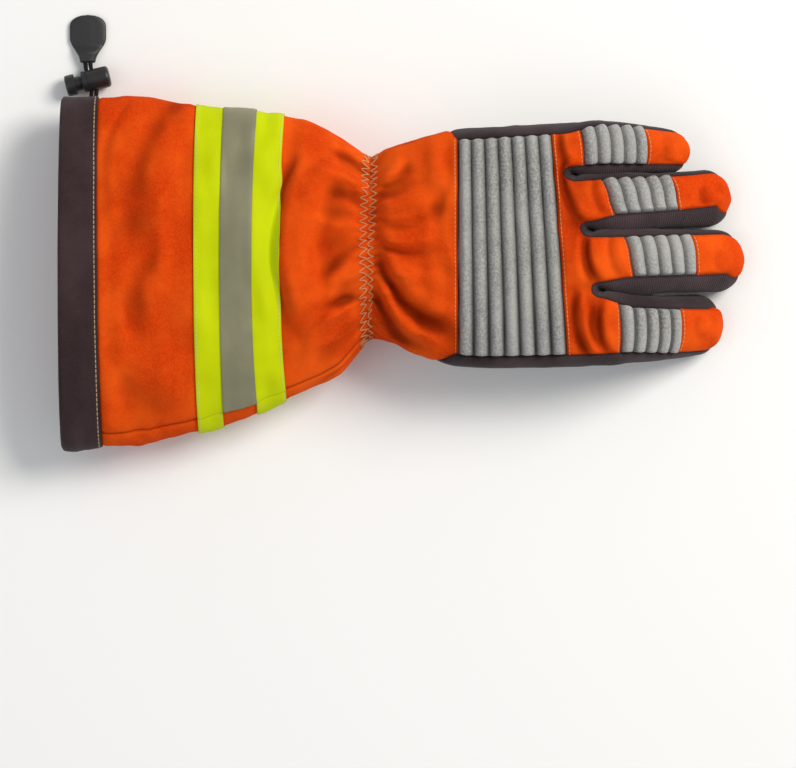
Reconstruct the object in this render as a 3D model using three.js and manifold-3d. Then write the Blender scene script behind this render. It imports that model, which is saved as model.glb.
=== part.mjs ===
// A padded left firefighter glove with a long gauntlet, lying palm down with its thumb folded under the palm.
// Millimetres, +Z up. +X runs to the fingertips, +Y to the little finger's side, and z = 0 is the surface below.
// Every cloth panel is a wall cut from three closed skins: the trunk from cuff to knuckles, the fingers, the thumb.
import * as THREE from "three";
import { mergeVertices } from "three/addons/utils/BufferGeometryUtils.js";
import Module from "manifold-3d";

const wasm = await Module();
wasm.setup();

// Overall sizes
const gloveLength = 390;
const mouthWidth = 201;
const mouthHeight = 60;
const wristWidth = 103;
const wristHeight = 43;
const palmWidth = 136;
const palmThickness = 36;
const fingerThickness = 26;
const thumbWidth = 50;
const thumbThickness = 26;
const thumbClearance = 3;

// Walls, seams and trims
const clothWall = 2;
const suedeWall = 2.4;
const padWall = 3;
const tapeWall = 0.9;
const silverWall = 0.5;
const seamGap = 0.3;
const tapeSeat = 0.3;
const hemWidth = 21;
const hemWall = 3.2;
const tapeWidth = 50;
const silverWidth = 19;
const tapeFromMouth = 77;
const knuckleRibs = 7;
const knuckleRibHeight = 2.6;
const fingerRibs = 5;
const fingerRibHeight = 2;
const pleatHeight = 2.4;
const pleatReach = 14;
const valleyDepth = 3;

// Toggle on the cuff's draw cord
const cordDiameter = 2.4;
const cordSpacing = 2.9;
const cordClearance = 0.4;
const lockDiameter = 12.4;
const lockLength = 16;
const lockRim = 5.2;
const lockWall = 1.8;
const lockTurn = 14;
const plungerHead = 5.5;
const plungerTravel = 4;
const plungerFit = 0.3;
const tabLength = 26;
const tabWidth = 21;
const tabThickness = 3.2;
const tabNeck = 9;
const eyeletDiameter = 13;
const eyeletHole = 6.4;
const eyeletThickness = 1.4;
// Middle of the two strands, from behind the eyelet, out under the hem's edge, through the lock and into the tab
const cordRoute = [
  [-179.8, 90.6, 15.5],
  [-179.8, 91.3, 14.5],
  [-179.75, 92.7, 12.4],
  [-179.6, 94.2, 10.4],
  [-179.2, 96.6, 8.3],
  [-178.6, 99.6, 6.9],
  [-178.1, 102.6, 6.3],
  [-177.95, 104.8, 6.2],
  [-178.6, 107.5, 6.2],
  [-179.5, 110.9, 6.2],
  [-180.4, 114.3, 6.2],
  [-181.1, 117.2, 5.8],
  [-181.4, 118.9, 4.9],
  [-181.6, 120.4, 4.3],
  [-181.8, 121.9, 4.2],
];
const lockCentre = [-179.5, 110.8];

// Worked out from the sizes above
const palmLift = thumbThickness + thumbClearance;
const fingerWidth = 0.243 * palmWidth;
const tapeRise = tapeSeat + tapeWall;
const palmTapeWidth = (tapeWidth - silverWidth) / 2;
const mouthX = -gloveLength / 2;
const hemX = mouthX + hemWidth;
const tapeX = mouthX + tapeFromMouth;
const gatherX = -0.05 * gloveLength;

const clamp = (value, low, high) => Math.min(high, Math.max(low, value));
const mix = (from, to, share) => from + (to - from) * share;
const ease = (share) => {
  const s = clamp(share, 0, 1);
  return s * s * (3 - 2 * s);
};

// Rows of a table as objects with the given column names.
const table = (columns, rows) =>
  rows.map((row) => Object.fromEntries(columns.map((column, k) => [column, row[k]])));

// Trunk sections from the mouth to the finger roots. Each side is a share of the row's width, lift is the
// underside as a share of the palm's lift, and tall is a share of the row's height.
const sections = table(
  ["along", "width", "pinky", "index", "lift", "height", "tall", "round"],
  [
    [-0.52, mouthWidth, 0.5, -0.5, -0.14, mouthHeight, 1.07, 2.0],
    [-0.385, mouthWidth, 0.495, -0.489, -0.14, mouthHeight, 1.05, 2.0],
    [-0.267, mouthWidth, 0.463, -0.433, -0.13, mouthHeight, 1.03, 2.0],
    [-0.151, mouthWidth, 0.424, -0.345, -0.06, mouthHeight, 0.98, 2.0],
    [-0.093, mouthWidth, 0.374, -0.286, 0.1, mouthHeight, 0.89, 2.0],
    [-0.05, wristWidth, 0.626, -0.374, 0.34, wristHeight, 1.0, 2.05],
    [-0.02, wristWidth, 0.675, -0.39, 0.55, wristHeight, 1.04, 2.15],
    [0.024, palmWidth, 0.556, -0.353, 0.8, palmThickness, 1.1, 2.25],
    [0.068, palmWidth, 0.584, -0.386, 0.96, palmThickness, 1.04, 2.35],
    [0.112, palmWidth, 0.592, -0.399, 1.0, palmThickness, 1.0, 2.4],
    [0.199, palmWidth, 0.608, -0.396, 1.02, palmThickness, 0.98, 2.4],
    [0.3, palmWidth, 0.622, -0.388, 1.04, palmThickness, 0.93, 2.4],
  ],
).map((row) => ({
  x: row.along * gloveLength,
  pinky: row.pinky * row.width,
  index: row.index * row.width,
  under: row.lift * palmLift,
  top: row.lift * palmLift + row.tall * row.height,
  round: row.round,
}));

// A smooth curve through one column of a table, by cubic pieces whose slopes come from the neighbours.
function along(rows, column, x) {
  let k = 0;
  while (k < rows.length - 2 && x > rows[k + 1].x) k += 1;
  const slope = (i) => {
    const before = rows[Math.max(i - 1, 0)];
    const after = rows[Math.min(i + 1, rows.length - 1)];
    return (after[column] - before[column]) / (after.x - before.x);
  };
  const span = rows[k + 1].x - rows[k].x;
  const s = clamp((x - rows[k].x) / span, 0, 1);
  const start = rows[k][column];
  const end = rows[k + 1][column];
  const s2 = s * s;
  const s3 = s2 * s;
  return (
    start * (2 * s3 - 3 * s2 + 1) +
    end * (3 * s2 - 2 * s3) +
    span * (slope(k) * (s3 - 2 * s2 + s) + slope(k + 1) * (s3 - s2))
  );
}

// The lanes across the trunk end at these shares of its half width: outer edge, three crotches, outer edge.
const laneEdges = [0.92, 0.578, 0.113, -0.385, -0.92];

// Lines across the trunk, as x on the little finger's side and on the index side, with a bow towards the mouth.
const slight = 0.003 * gloveLength;
const silverX = tapeX + palmTapeWidth;
const lines = table(
  ["name", "pinky", "index", "bow"],
  [
    ["mouth", mouthX, mouthX, 0],
    ["hem", hemX, hemX + 2 * slight, 0],
    ["tape", tapeX, tapeX + slight, slight],
    ["silver", silverX, silverX, slight],
    ["silverEnd", silverX + silverWidth, silverX + silverWidth, 2 * slight],
    ["tapeEnd", tapeX + tapeWidth, tapeX + tapeWidth + slight, 2 * slight],
    ["gather", gatherX, gatherX - slight, slight],
    ["suede", 0.024 * gloveLength, -0.01 * gloveLength, 0],
    ["heel", 0.062 * gloveLength, 0.036 * gloveLength, 0],
    ["padStart", 0.078 * gloveLength, 0.079 * gloveLength, 0],
    ["padEnd", 0.213 * gloveLength, 0.238 * gloveLength, 0],
  ],
);
const line = Object.fromEntries(lines.map((row, k) => [row.name, k]));
const crotchLine = lines.length;
// Where the lane edges meet the finger roots, as shares of the glove's length.
const crotches = [0.226, 0.233, 0.257, 0.273, 0.276].map((share) => share * gloveLength);
const webLean = 0.018 * gloveLength;

function lineX(k, lane, share, under) {
  if (k >= crotchLine) {
    const edge = clamp(Math.floor(lane), 0, 3);
    return mix(crotches[edge], crotches[edge + 1], lane - edge) + webLean * under;
  }
  const row = lines[k];
  const middle = (row.pinky + row.index) / 2;
  return middle + ((row.pinky - row.index) / 2) * share - row.bow * (1 - share * share);
}

function trunkX(s, lane, share, under) {
  const k = clamp(Math.floor(s), 0, crotchLine - 1);
  return mix(lineX(k, lane, share, under), lineX(k + 1, lane, share, under), s - k);
}

// Gathers either side of the wrist's elastic, and the dips that run from between the fingers on to the hand.
function pleat(x, turn) {
  const away = Math.abs(x - gatherX) / pleatReach;
  return pleatHeight * away * Math.exp(1 - away) * ease((3 - away) / 1.5) * Math.cos(4 * Math.PI * turn);
}

function valley(x, y) {
  let depth = 0;
  for (let k = 1; k < 4; k += 1) {
    const crotchY = trunkY(crotches[k], laneEdges[k]);
    const across = (y - crotchY) / (0.16 * fingerWidth);
    const reach = ease((x - crotches[k] + 0.05 * gloveLength) / (0.05 * gloveLength));
    depth += valleyDepth * reach * Math.exp(-across * across);
  }
  return depth;
}

function trunkY(x, share) {
  const pinky = along(sections, "pinky", x);
  const index = along(sections, "index", x);
  return (pinky + index) / 2 + ((pinky - index) / 2) * share;
}

// The trunk's outer skin. turn goes once round: 0 to 4 over the back from the little finger's lane to the index
// lane, 4 to 5 down the index side, 5 to 9 back under the palm and 9 to 10 up the little finger's side.
function trunk(s, turn) {
  const t = ((turn % 10) + 10) % 10;
  let lane = t;
  let share;
  let angle;
  if (t <= 4) {
    const k = Math.min(Math.floor(t), 3);
    share = mix(laneEdges[k], laneEdges[k + 1], t - k);
  } else if (t <= 5) {
    lane = 4;
    angle = t - 4;
    share = laneEdges[4];
  } else if (t <= 9) {
    lane = 9 - t;
    const k = Math.min(Math.floor(lane), 3);
    share = mix(laneEdges[k], laneEdges[k + 1], lane - k);
  } else {
    lane = 0;
    angle = 10 - t;
    share = laneEdges[0];
  }
  const under = t <= 4 ? 0 : t < 5 ? t - 4 : t <= 9 ? 1 : 10 - t;
  const x = trunkX(s, lane, share, under);
  const round = along(sections, "round", x);
  const top = along(sections, "top", x);
  const bottom = along(sections, "under", x);
  const middle = (top + bottom) / 2;
  let height = (1 - Math.abs(share) ** round) ** (1 / round) * (t <= 4 ? 1 : -1);
  if (angle !== undefined) {
    const edge = Math.acos(Math.abs(share) ** (round / 2));
    const theta = mix(edge, -edge, angle);
    share = Math.sign(share) * Math.cos(theta) ** (2 / round);
    height = Math.sign(theta) * Math.abs(Math.sin(theta)) ** (2 / round);
  }
  const pinky = along(sections, "pinky", x);
  const index = along(sections, "index", x);
  const half = (pinky - index) / 2;
  const fold = pleat(x, t) / ((top - bottom) / 2);
  const y = (pinky + index) / 2 + half * share * (1 + 0.4 * fold);
  let z = middle + ((top - bottom) / 2) * height * (1 + fold);
  z -= Math.sign(height) * valley(x, y) * Math.min(1, Math.abs(height) * 1.5);
  const floor = x < gatherX ? tapeRise : 0;
  return new THREE.Vector3(x, y, Math.max(z, floor));
}

// Fingers, from little to index finger: tips and drops are shares of the glove's length, middles shares of the
// palm width, half widths shares of the finger width, and the back panel's edges shares of the half width.
const fingers = table(
  [
    "name", "tip", "drop", "rootMiddle", "endMiddle", "rootHalf", "endHalf",
    "pinkyRoot", "pinkyEnd", "indexRoot", "indexEnd", "padStart", "padEnd",
  ],
  [
    ["pinky", 0.4172, 0.068, 0.518, 0.508, 0.45, 0.37, 0.8, 0.84, 0.72, 0.6, 0.16, 0.71],
    ["ring", 0.4813, 0.091, 0.29, 0.312, 0.45, 0.485, 0.83, 0.93, 0.62, 0.28, 0.23, 0.7],
    ["middle", 0.5, 0.091, 0.044, 0.05, 0.53, 0.53, 0.75, 0.9, 0.6, 0.45, 0.28, 0.755],
    ["index", 0.4697, 0.089, -0.243, -0.22, 0.56, 0.51, 0.76, 0.55, 0.68, 0.84, 0.2, 0.73],
  ],
);
const fingerRound = 2.3;
const frontTop = 0.66;
const frontUnder = -0.6;
const underShare = 0.62;
const slotHalf = 0.1 * fingerWidth;
const rootEase = 0.6 * fingerWidth;
const fingerRootZ = palmLift * 1.03 + palmThickness * 0.47;
const dropCurve = (t) => t * t * (1.5 - 0.5 * t);
const dropSlope = (t) => t * (3 - 1.5 * t);

// Angles round a finger's section: over the back, down the index side, under the front, up the other side.
function roundAngle(r, edges) {
  const half = Math.PI / 2;
  if (r <= 0.5) return mix(edges.pinkyTop, half, r / 0.5);
  if (r <= 1) return mix(half, Math.PI - edges.indexTop, (r - 0.5) / 0.5);
  if (r <= 2) return mix(Math.PI - edges.indexTop, Math.PI - edges.indexUnder, r - 1);
  if (r <= 2.5) return mix(Math.PI - edges.indexUnder, 3 * half, (r - 2) / 0.5);
  if (r <= 3) return mix(3 * half, 2 * Math.PI + edges.pinkyUnder, (r - 2.5) / 0.5);
  return mix(2 * Math.PI + edges.pinkyUnder, 2 * Math.PI + edges.pinkyTop, r - 3);
}

// A section that is swept straight and then turned about its upright axis to close a rounded tip.
function tube(shape, t, r) {
  const straight = clamp(t, 0, 1);
  const swing = (clamp(t - 1, 0, 1) * Math.PI) / 2;
  const front = ease(clamp(t - 1, 0, 1));
  const edges = {
    pinkyTop: mix(shape.pinkyTop(straight), shape.frontTop, front),
    indexTop: mix(shape.indexTop(straight), shape.frontTop, front),
    pinkyUnder: mix(shape.pinkyUnder, shape.frontUnder, front),
    indexUnder: mix(shape.indexUnder, shape.frontUnder, front),
  };
  const angle = roundAngle(r, edges);
  const side = Math.sign(Math.cos(angle)) * Math.abs(Math.cos(angle)) ** (2 / shape.round);
  const rise = Math.sign(Math.sin(angle)) * Math.abs(Math.sin(angle)) ** (2 / shape.round);
  const tilt = shape.tilt(straight);
  const centre = shape.centre(straight);
  const half = shape.half(straight);
  const thick = shape.thick(straight);
  const ahead = half * Math.abs(side) * Math.sin(swing) * shape.reach;
  return new THREE.Vector3(
    centre.x + ahead * Math.cos(tilt) + thick * rise * Math.sin(tilt),
    centre.y + half * side * Math.cos(swing),
    centre.z - ahead * Math.sin(tilt) + thick * rise * Math.cos(tilt),
  );
}

const wrapRound = (turn) => ((turn % 4) + 4) % 4;
const shareAngle = (share, round) => Math.acos(share ** (round / 2));

fingers.forEach((row, i) => {
  const half = fingerThickness / 2;
  const tipX = row.tip * gloveLength;
  const rootX = (crotches[i] + crotches[i + 1]) / 2;
  const drop = row.drop * gloveLength;
  const endTilt = Math.atan(0.55);
  const endHalf = row.endHalf * fingerWidth;
  const tipReach = Math.hypot(endHalf * Math.cos(endTilt), half * Math.sin(endTilt));
  const endX = tipX - tipReach;
  row.shape = {
    round: fingerRound,
    reach: 1,
    pinkyTop: (t) => shareAngle(mix(row.pinkyRoot, row.pinkyEnd, t), fingerRound),
    indexTop: (t) => shareAngle(mix(row.indexRoot, row.indexEnd, t), fingerRound),
    pinkyUnder: -shareAngle(underShare, fingerRound),
    indexUnder: -shareAngle(underShare, fingerRound),
    frontTop,
    frontUnder,
    tilt: (t) => Math.atan((drop * dropSlope(t)) / (endX - rootX)),
    centre: (t) =>
      new THREE.Vector3(
        mix(rootX, endX, t),
        mix(row.rootMiddle, row.endMiddle, t * t) * palmWidth,
        fingerRootZ - drop * dropCurve(t),
      ),
    half: (t) => mix(row.rootHalf, row.endHalf, t * t) * fingerWidth,
    thick: (t) => half * mix(1, 0.96, t),
  };
  row.rootX = rootX;
  row.rootSlant =
    (crotches[i + 1] - crotches[i]) / (trunkY(crotches[i + 1], laneEdges[i + 1]) - trunkY(crotches[i], laneEdges[i]));
  row.length = endX - rootX;
});

// Where finger i's section starts on the end of the trunk, or on the upright wall between two fingers.
function fingerRoot(i, r) {
  if (r <= 1) return trunk(crotchLine, i + r);
  if (r <= 2) {
    if (i === 3) return trunk(crotchLine, 4 + (r - 1));
    return trunk(crotchLine, i + 1).lerp(trunk(crotchLine, 8 - i), r - 1);
  }
  if (r <= 3) return trunk(crotchLine, 8 - i + (r - 2));
  if (i === 0) return trunk(crotchLine, 9 + (r - 3));
  return trunk(crotchLine, 9 - i).lerp(trunk(crotchLine, i), r - 3);
}

function finger(i, t, turn) {
  const r = wrapRound(turn);
  const shape = fingers[i].shape;
  const swept = tube(shape, t, r);
  const start = fingerRoot(i, r);
  const away = clamp(t, 0, 1) * fingers[i].length;
  const slow = ease(away / rootEase);
  const indexHalf = r > 0.5 && r < 2.5;
  const atSlot = indexHalf ? i < 3 : i > 0;
  const inPanel = r <= 1 ? Math.abs(2 * r - 1) : r >= 2 && r <= 3 ? Math.abs(2 * r - 5) : 1;
  const opening = slotHalf * Math.sqrt(1 - (1 - Math.min(1, away / slotHalf)) ** 2);
  const parting = atSlot ? (indexHalf ? 1 : -1) * opening * inPanel ** 3 * (1 - slow) : 0;
  return new THREE.Vector3(
    swept.x + (start.x - fingers[i].rootX) * (1 - clamp(t, 0, 1)) + parting * fingers[i].rootSlant,
    mix(start.y, swept.y, slow) + parting,
    Math.max(0, mix(start.z, swept.z, slow)),
  );
}

// The thumb leaves the palm through a window between two lines of the trunk and lies forward under the palm.
const windowStart = line.suede;
const windowEnd = line.padStart;
const windowTurn = 6.5;
const thumbStartX = 0.1 * gloveLength;
const thumbTipX = 0.311 * gloveLength;
const thumbRootShare = 0.32;
const thumbRound = 2.3;
const thumbPinky = [0.06, -0.035];
const thumbShape = {
  round: thumbRound,
  reach: 0.95,
  pinkyTop: () => shareAngle(0.75, thumbRound),
  indexTop: () => shareAngle(0.75, thumbRound),
  pinkyUnder: -shareAngle(0.84, thumbRound),
  indexUnder: -shareAngle(0.84, thumbRound),
  frontTop: 0.5,
  frontUnder: -0.62,
  tilt: () => 0,
  half: (t) => thumbWidth * mix(0.535, 0.455, t),
  thick: () => thumbThickness / 2,
  centre: (t) => {
    const end = thumbTipX - thumbWidth * 0.455 * 0.95;
    const share = clamp((t - thumbRootShare) / (1 - thumbRootShare), 0, 1);
    return new THREE.Vector3(
      mix(thumbStartX, end, share),
      palmWidth * mix(-0.12, -0.045, share ** 1.3),
      thumbThickness / 2 - 0.7,
    );
  },
};

function windowRim(r) {
  if (r <= 1) return trunk(windowEnd, mix(windowTurn, 5, r));
  if (r <= 2) return trunk(mix(windowEnd, windowStart, r - 1), 5);
  if (r <= 3) return trunk(windowStart, mix(5, windowTurn, r - 2));
  return trunk(mix(windowStart, windowEnd, r - 3), windowTurn);
}

function thumb(t, turn) {
  const r = wrapRound(turn);
  const swept = tube(thumbShape, t, r);
  let point = swept;
  if (t < thumbRootShare) {
    const start = windowRim(r);
    const share = t / thumbRootShare;
    const bend = new THREE.Vector3(
      mix(start.x, swept.x, 0.35),
      mix(start.y, swept.y, 0.6),
      mix(start.z, swept.z, 0.85),
    );
    point = start
      .clone()
      .multiplyScalar((1 - share) ** 2)
      .addScaledVector(bend, 2 * share * (1 - share))
      .addScaledVector(swept, share * share);
  }
  point.z = Math.max(0, point.z);
  return point;
}

// Sum of a skin's outward normals in the four quarters round a point, so that an edge gets both of its sides.
function quarterNormals(skin, u, v) {
  const du = 0.02;
  const dv = 0.03;
  const total = new THREE.Vector3();
  const here = skin(u, v);
  for (const [su, sv] of [[1, 1], [1, -1], [-1, 1], [-1, -1]]) {
    const byU = skin(u + su * du, v).sub(here).multiplyScalar(su);
    const byV = skin(u + su * du, v + sv * dv).sub(skin(u + su * du, v)).multiplyScalar(sv);
    const quarter = byV.cross(byU);
    if (quarter.length() > 1e-9) total.add(quarter.normalize());
  }
  return total;
}

// Outward normal at a point. At a pole, where a whole row meets, it is the mean a little way to either side.
const poleStep = 0.1;
function normalOf(skin, u, v) {
  const total = quarterNormals(skin, u, v);
  if (total.length() > 1e-6) return total.normalize();
  return quarterNormals(skin, u, v + poleStep).add(quarterNormals(skin, u, v - poleStep)).normalize();
}

// A patch gathers grids cut from the skins, welds their common points and keeps one normal for each.
class Patch {
  constructor() {
    this.points = [];
    this.names = [];
    this.normals = [];
    this.rises = [];
    this.faces = [];
    this.keys = new Map();
  }

  vertex(point, normal, rise) {
    const key = [point.x, point.y, point.z].map((value) => Math.round(value * 50)).join(",");
    if (this.keys.has(key)) {
      const k = this.keys.get(key);
      this.normals[k].add(normal);
      return k;
    }
    this.keys.set(key, this.points.length);
    this.names.push(key);
    this.points.push(point);
    this.normals.push(normal.clone());
    this.rises.push(rise);
    return this.points.length - 1;
  }

  // Adds the part of a skin between rows us and columns vs, raised along its normals where rise gives a height.
  grid(skin, us, vs, rise = () => 0) {
    const ids = us.map((u) => vs.map((v) => this.vertex(skin(u, v), normalOf(skin, u, v), rise(u, v))));
    for (let i = 0; i + 1 < us.length; i += 1) {
      for (let j = 0; j + 1 < vs.length; j += 1) {
        const corners = [ids[i][j], ids[i][j + 1], ids[i + 1][j + 1], ids[i + 1][j]];
        const kept = corners.filter((id, k) => id !== corners[(k + 1) % 4]);
        if (kept.length === 4) this.faces.push([kept[0], kept[1], kept[2]], [kept[0], kept[2], kept[3]]);
        if (kept.length === 3) this.faces.push(kept);
      }
    }
    return this;
  }

  // The directed edges that only one triangle has: the patch's rim.
  rim() {
    const edges = new Map();
    for (const face of this.faces) {
      face.forEach((a, k) => {
        const b = face[(k + 1) % 3];
        const back = `${b} ${a}`;
        if (edges.has(back)) edges.delete(back);
        else edges.set(`${a} ${b}`, [a, b, face]);
      });
    }
    return [...edges.values()];
  }
}

// Seams: where patches share a point, they share its normal too, so that their walls meet along one plane.
function matchNormals(patches) {
  const shared = new Map();
  for (const patch of patches) {
    patch.normals.forEach((normal, k) => {
      const key = patch.names[k];
      if (!shared.has(key)) shared.set(key, []);
      shared.get(key).push(normal.normalize());
    });
  }
  for (const normals of shared.values()) {
    const mean = normals.reduce((total, normal) => total.add(normal), new THREE.Vector3());
    if (mean.length() > 0.45 * normals.length) {
      mean.normalize();
      normals.forEach((normal) => normal.copy(mean));
    }
  }
}

// A closed wall between two heights above a patch, drawn in from its rim by half a seam.
function wall(patch, outer, inner, inset = seamGap / 2) {
  const rim = patch.rim();
  const inward = new Map();
  for (const [a, b, face] of rim) {
    const [p, q, r] = face.map((k) => patch.points[k]);
    const normal = new THREE.Vector3().subVectors(q, p).cross(new THREE.Vector3().subVectors(r, p)).normalize();
    const edge = new THREE.Vector3().subVectors(patch.points[b], patch.points[a]).normalize();
    const across = normal.cross(edge);
    for (const k of [a, b]) {
      if (!inward.has(k)) inward.set(k, []);
      inward.get(k).push(across);
    }
  }
  const count = patch.points.length;
  const positions = new Float32Array(count * 6);
  patch.points.forEach((point, k) => {
    const moved = point.clone();
    if (inward.has(k)) {
      const sides = inward.get(k);
      const mean = sides.reduce((total, side) => total.add(side), new THREE.Vector3()).normalize();
      const reach = Math.max(0.4, Math.abs(mean.dot(sides[0])));
      moved.addScaledVector(mean, inset / reach);
    }
    const top = moved.clone().addScaledVector(patch.normals[k], outer + patch.rises[k]);
    const base = moved.clone().addScaledVector(patch.normals[k], inner);
    top.toArray(positions, k * 3);
    base.toArray(positions, (count + k) * 3);
  });
  const index = [];
  for (const [a, b, c] of patch.faces) index.push(a, b, c, count + a, count + c, count + b);
  for (const [a, b] of rim) {
    const first = patch.names[a] < patch.names[b];
    if (first) index.push(b, a, count + a, b, count + a, count + b);
    else index.push(a, count + a, count + b, a, count + b, b);
  }
  const geometry = new THREE.BufferGeometry();
  geometry.setAttribute("position", new THREE.BufferAttribute(positions, 3));
  geometry.setIndex(index);
  return geometry;
}

// Evenly spaced values, ends included, and several such runs joined end to end.
const steps = (from, to, count) => Array.from({ length: count + 1 }, (_, k) => mix(from, to, k / count));
const runs = (stops, counts) =>
  counts.flatMap((count, k) => steps(stops[k], stops[k + 1], count).slice(k ? 1 : 0));

const laneSteps = 4;
const sideSteps = 2;
const back = steps(0, 4, 4 * laneSteps);
const indexSide = steps(4, 5, sideSteps);
const underside = steps(5, 9, 4 * laneSteps);
const pinkySide = steps(9, 10, sideSteps);
const wrapBack = [...pinkySide.slice(0, -1), ...steps(10, 14, 4 * laneSteps)];
const wrapUnder = [...indexSide, ...underside.slice(1)];
const ring = [...back, ...indexSide.slice(1), ...underside.slice(1), ...pinkySide.slice(1)];

// Rib rows: each rib has a valley, two shoulders and a crest between them.
const ribMarks = [0, 0.25, 0.75];
function ribRows(from, to, ribs) {
  const rows = [];
  for (let k = 0; k < ribs; k += 1) for (const mark of ribMarks) rows.push(mix(from, to, (k + mark) / ribs));
  rows.push(to);
  return rows;
}
const ribRise = (from, to, ribs, height) => (u) => {
  const phase = ((u - from) / (to - from)) * ribs;
  const inRib = phase - Math.floor(phase + 1e-9);
  return inRib > 0.1 && inRib < 0.9 ? height : 0;
};

const patches = {};
const walls = [];
function panel(name, material, outer, inner, patch) {
  patches[name] = patch;
  walls.push({ name, material, outer, inner });
}

// Cuff, hem and tapes
const cuffLines = [line.hem, line.tape, line.silver, line.silverEnd, line.tapeEnd, line.gather];
const cuffRows = runs(cuffLines, [1, 1, 1, 1, 4]);
panel("hem_band", "hem", tapeRise, tapeRise - hemWall, new Patch().grid(trunk, [line.mouth, line.hem], ring));
panel("gauntlet_back", "orange", 0, -clothWall, new Patch().grid(trunk, cuffRows, wrapBack));
panel("gauntlet_palm", "orange", 0, -clothWall, new Patch().grid(trunk, cuffRows, wrapUnder));
const tapeRows = [line.tape, line.silver, line.silverEnd, line.tapeEnd];
panel("tape_back", "yellow", tapeRise, tapeSeat, new Patch().grid(trunk, tapeRows, wrapBack));
panel(
  "tape_back_silver", "silver", tapeRise + tapeSeat + silverWall, tapeRise + tapeSeat,
  new Patch().grid(trunk, tapeRows.slice(1, 3), wrapBack),
);
panel("tape_palm_fore", "yellow", tapeRise, tapeSeat, new Patch().grid(trunk, tapeRows.slice(2), wrapUnder));
panel("tape_palm_aft", "yellow", tapeRise, tapeSeat, new Patch().grid(trunk, tapeRows.slice(0, 2), wrapUnder));

// Back of the hand
const handRows = runs([line.gather, line.suede, line.heel, line.padStart], [3, 1, 2]);
const handBack = new Patch()
  .grid(trunk, handRows.slice(0, 5), [...wrapBack, ...indexSide.slice(1).map((turn) => 10 + turn)])
  .grid(trunk, handRows.slice(4), back);
panel("hand_back", "orange", 0, -clothWall, handBack);
const padSpan = [line.padStart, line.padEnd];
panel(
  "knuckle_pad", "suede", 0, -padWall,
  new Patch().grid(trunk, ribRows(...padSpan, knuckleRibs), back, ribRise(...padSpan, knuckleRibs, knuckleRibHeight)),
);

const bandPatch = new Patch().grid(trunk, steps(line.padEnd, crotchLine, 2), back);
const topSteps = steps(0, 1, laneSteps);
const slotMarks = [0, 0.18, 0.55, 1.1];
const between = (skin, i) => (t, r) => skin(i, t, r);
const rootRows = (row) => {
  const marks = slotMarks.map((mark) => (mark * slotHalf) / row.length);
  return [...marks, ...steps(marks[3], row.padStart, 2).slice(1)];
};
fingers.forEach((row, i) => bandPatch.grid(between(finger, i), rootRows(row), topSteps));
panel("knuckle_band", "orange", 0, -clothWall, bandPatch);

// Fingers
const tipRows = [1, 1.35, 1.7, 2];
const sideRows = fingers.map((row) => [
  ...rootRows(row),
  ...steps(row.padStart, row.padEnd, fingerRibs).slice(1),
  ...tipRows,
]);
const indexStrip = steps(1, 2, sideSteps);
const pinkyStrip = steps(3, 4, sideSteps);
fingers.forEach((row, i) => {
  const skin = between(finger, i);
  const span = [row.padStart, row.padEnd];
  panel(
    `finger_pad_${row.name}`, "suede", 0, -padWall,
    new Patch().grid(skin, ribRows(...span, fingerRibs), topSteps, ribRise(...span, fingerRibs, fingerRibHeight)),
  );
  const tipPatch = new Patch().grid(skin, [row.padEnd, ...tipRows], topSteps);
  panel(`finger_tip_${row.name}`, "orange", 0, -clothWall, tipPatch);
  const front = new Patch()
    .grid(trunk, steps(line.padEnd, crotchLine, 2), steps(8 - i, 9 - i, laneSteps))
    .grid(skin, sideRows[i], steps(2, 3, laneSteps));
  panel(`finger_front_${row.name}`, "suede", 0, -suedeWall, front);
  if (i < 3) {
    const strip = new Patch()
      .grid(skin, sideRows[i], indexStrip)
      .grid(between(finger, i + 1), sideRows[i + 1], pinkyStrip);
    panel(`fourchette_${row.name}_${fingers[i + 1].name}`, "twill", 0, -clothWall, strip);
  }
});
const stripRows = runs([line.heel, line.padStart, line.padEnd, crotchLine], [2, knuckleRibs, 2]);
panel(
  "side_strip_pinky", "twill", 0, -clothWall,
  new Patch().grid(trunk, stripRows, pinkySide).grid(between(finger, 0), sideRows[0], pinkyStrip),
);
panel(
  "side_strip_index", "twill", 0, -clothWall,
  new Patch().grid(trunk, stripRows, indexSide).grid(between(finger, 3), sideRows[3], indexStrip),
);

// Palm, with the thumb's window
const windowSteps = 6;
const palmWindow = steps(5, windowTurn, windowSteps);
const palmRest = steps(windowTurn, 9, 10);
panel(
  "wrist_palm", "orange", 0, -clothWall,
  new Patch().grid(trunk, handRows.slice(0, 4), [...palmWindow, ...palmRest.slice(1)]),
);
panel("palm_heel", "suede", 0, -suedeWall, new Patch().grid(trunk, steps(line.suede, line.heel, 1), palmRest));
panel(
  "palm_panel", "suede", 0, -suedeWall,
  new Patch()
    .grid(trunk, runs([line.heel, line.padStart, line.padEnd], [1, 3]), palmRest)
    .grid(trunk, steps(line.padStart, line.padEnd, 3), palmWindow),
);

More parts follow.
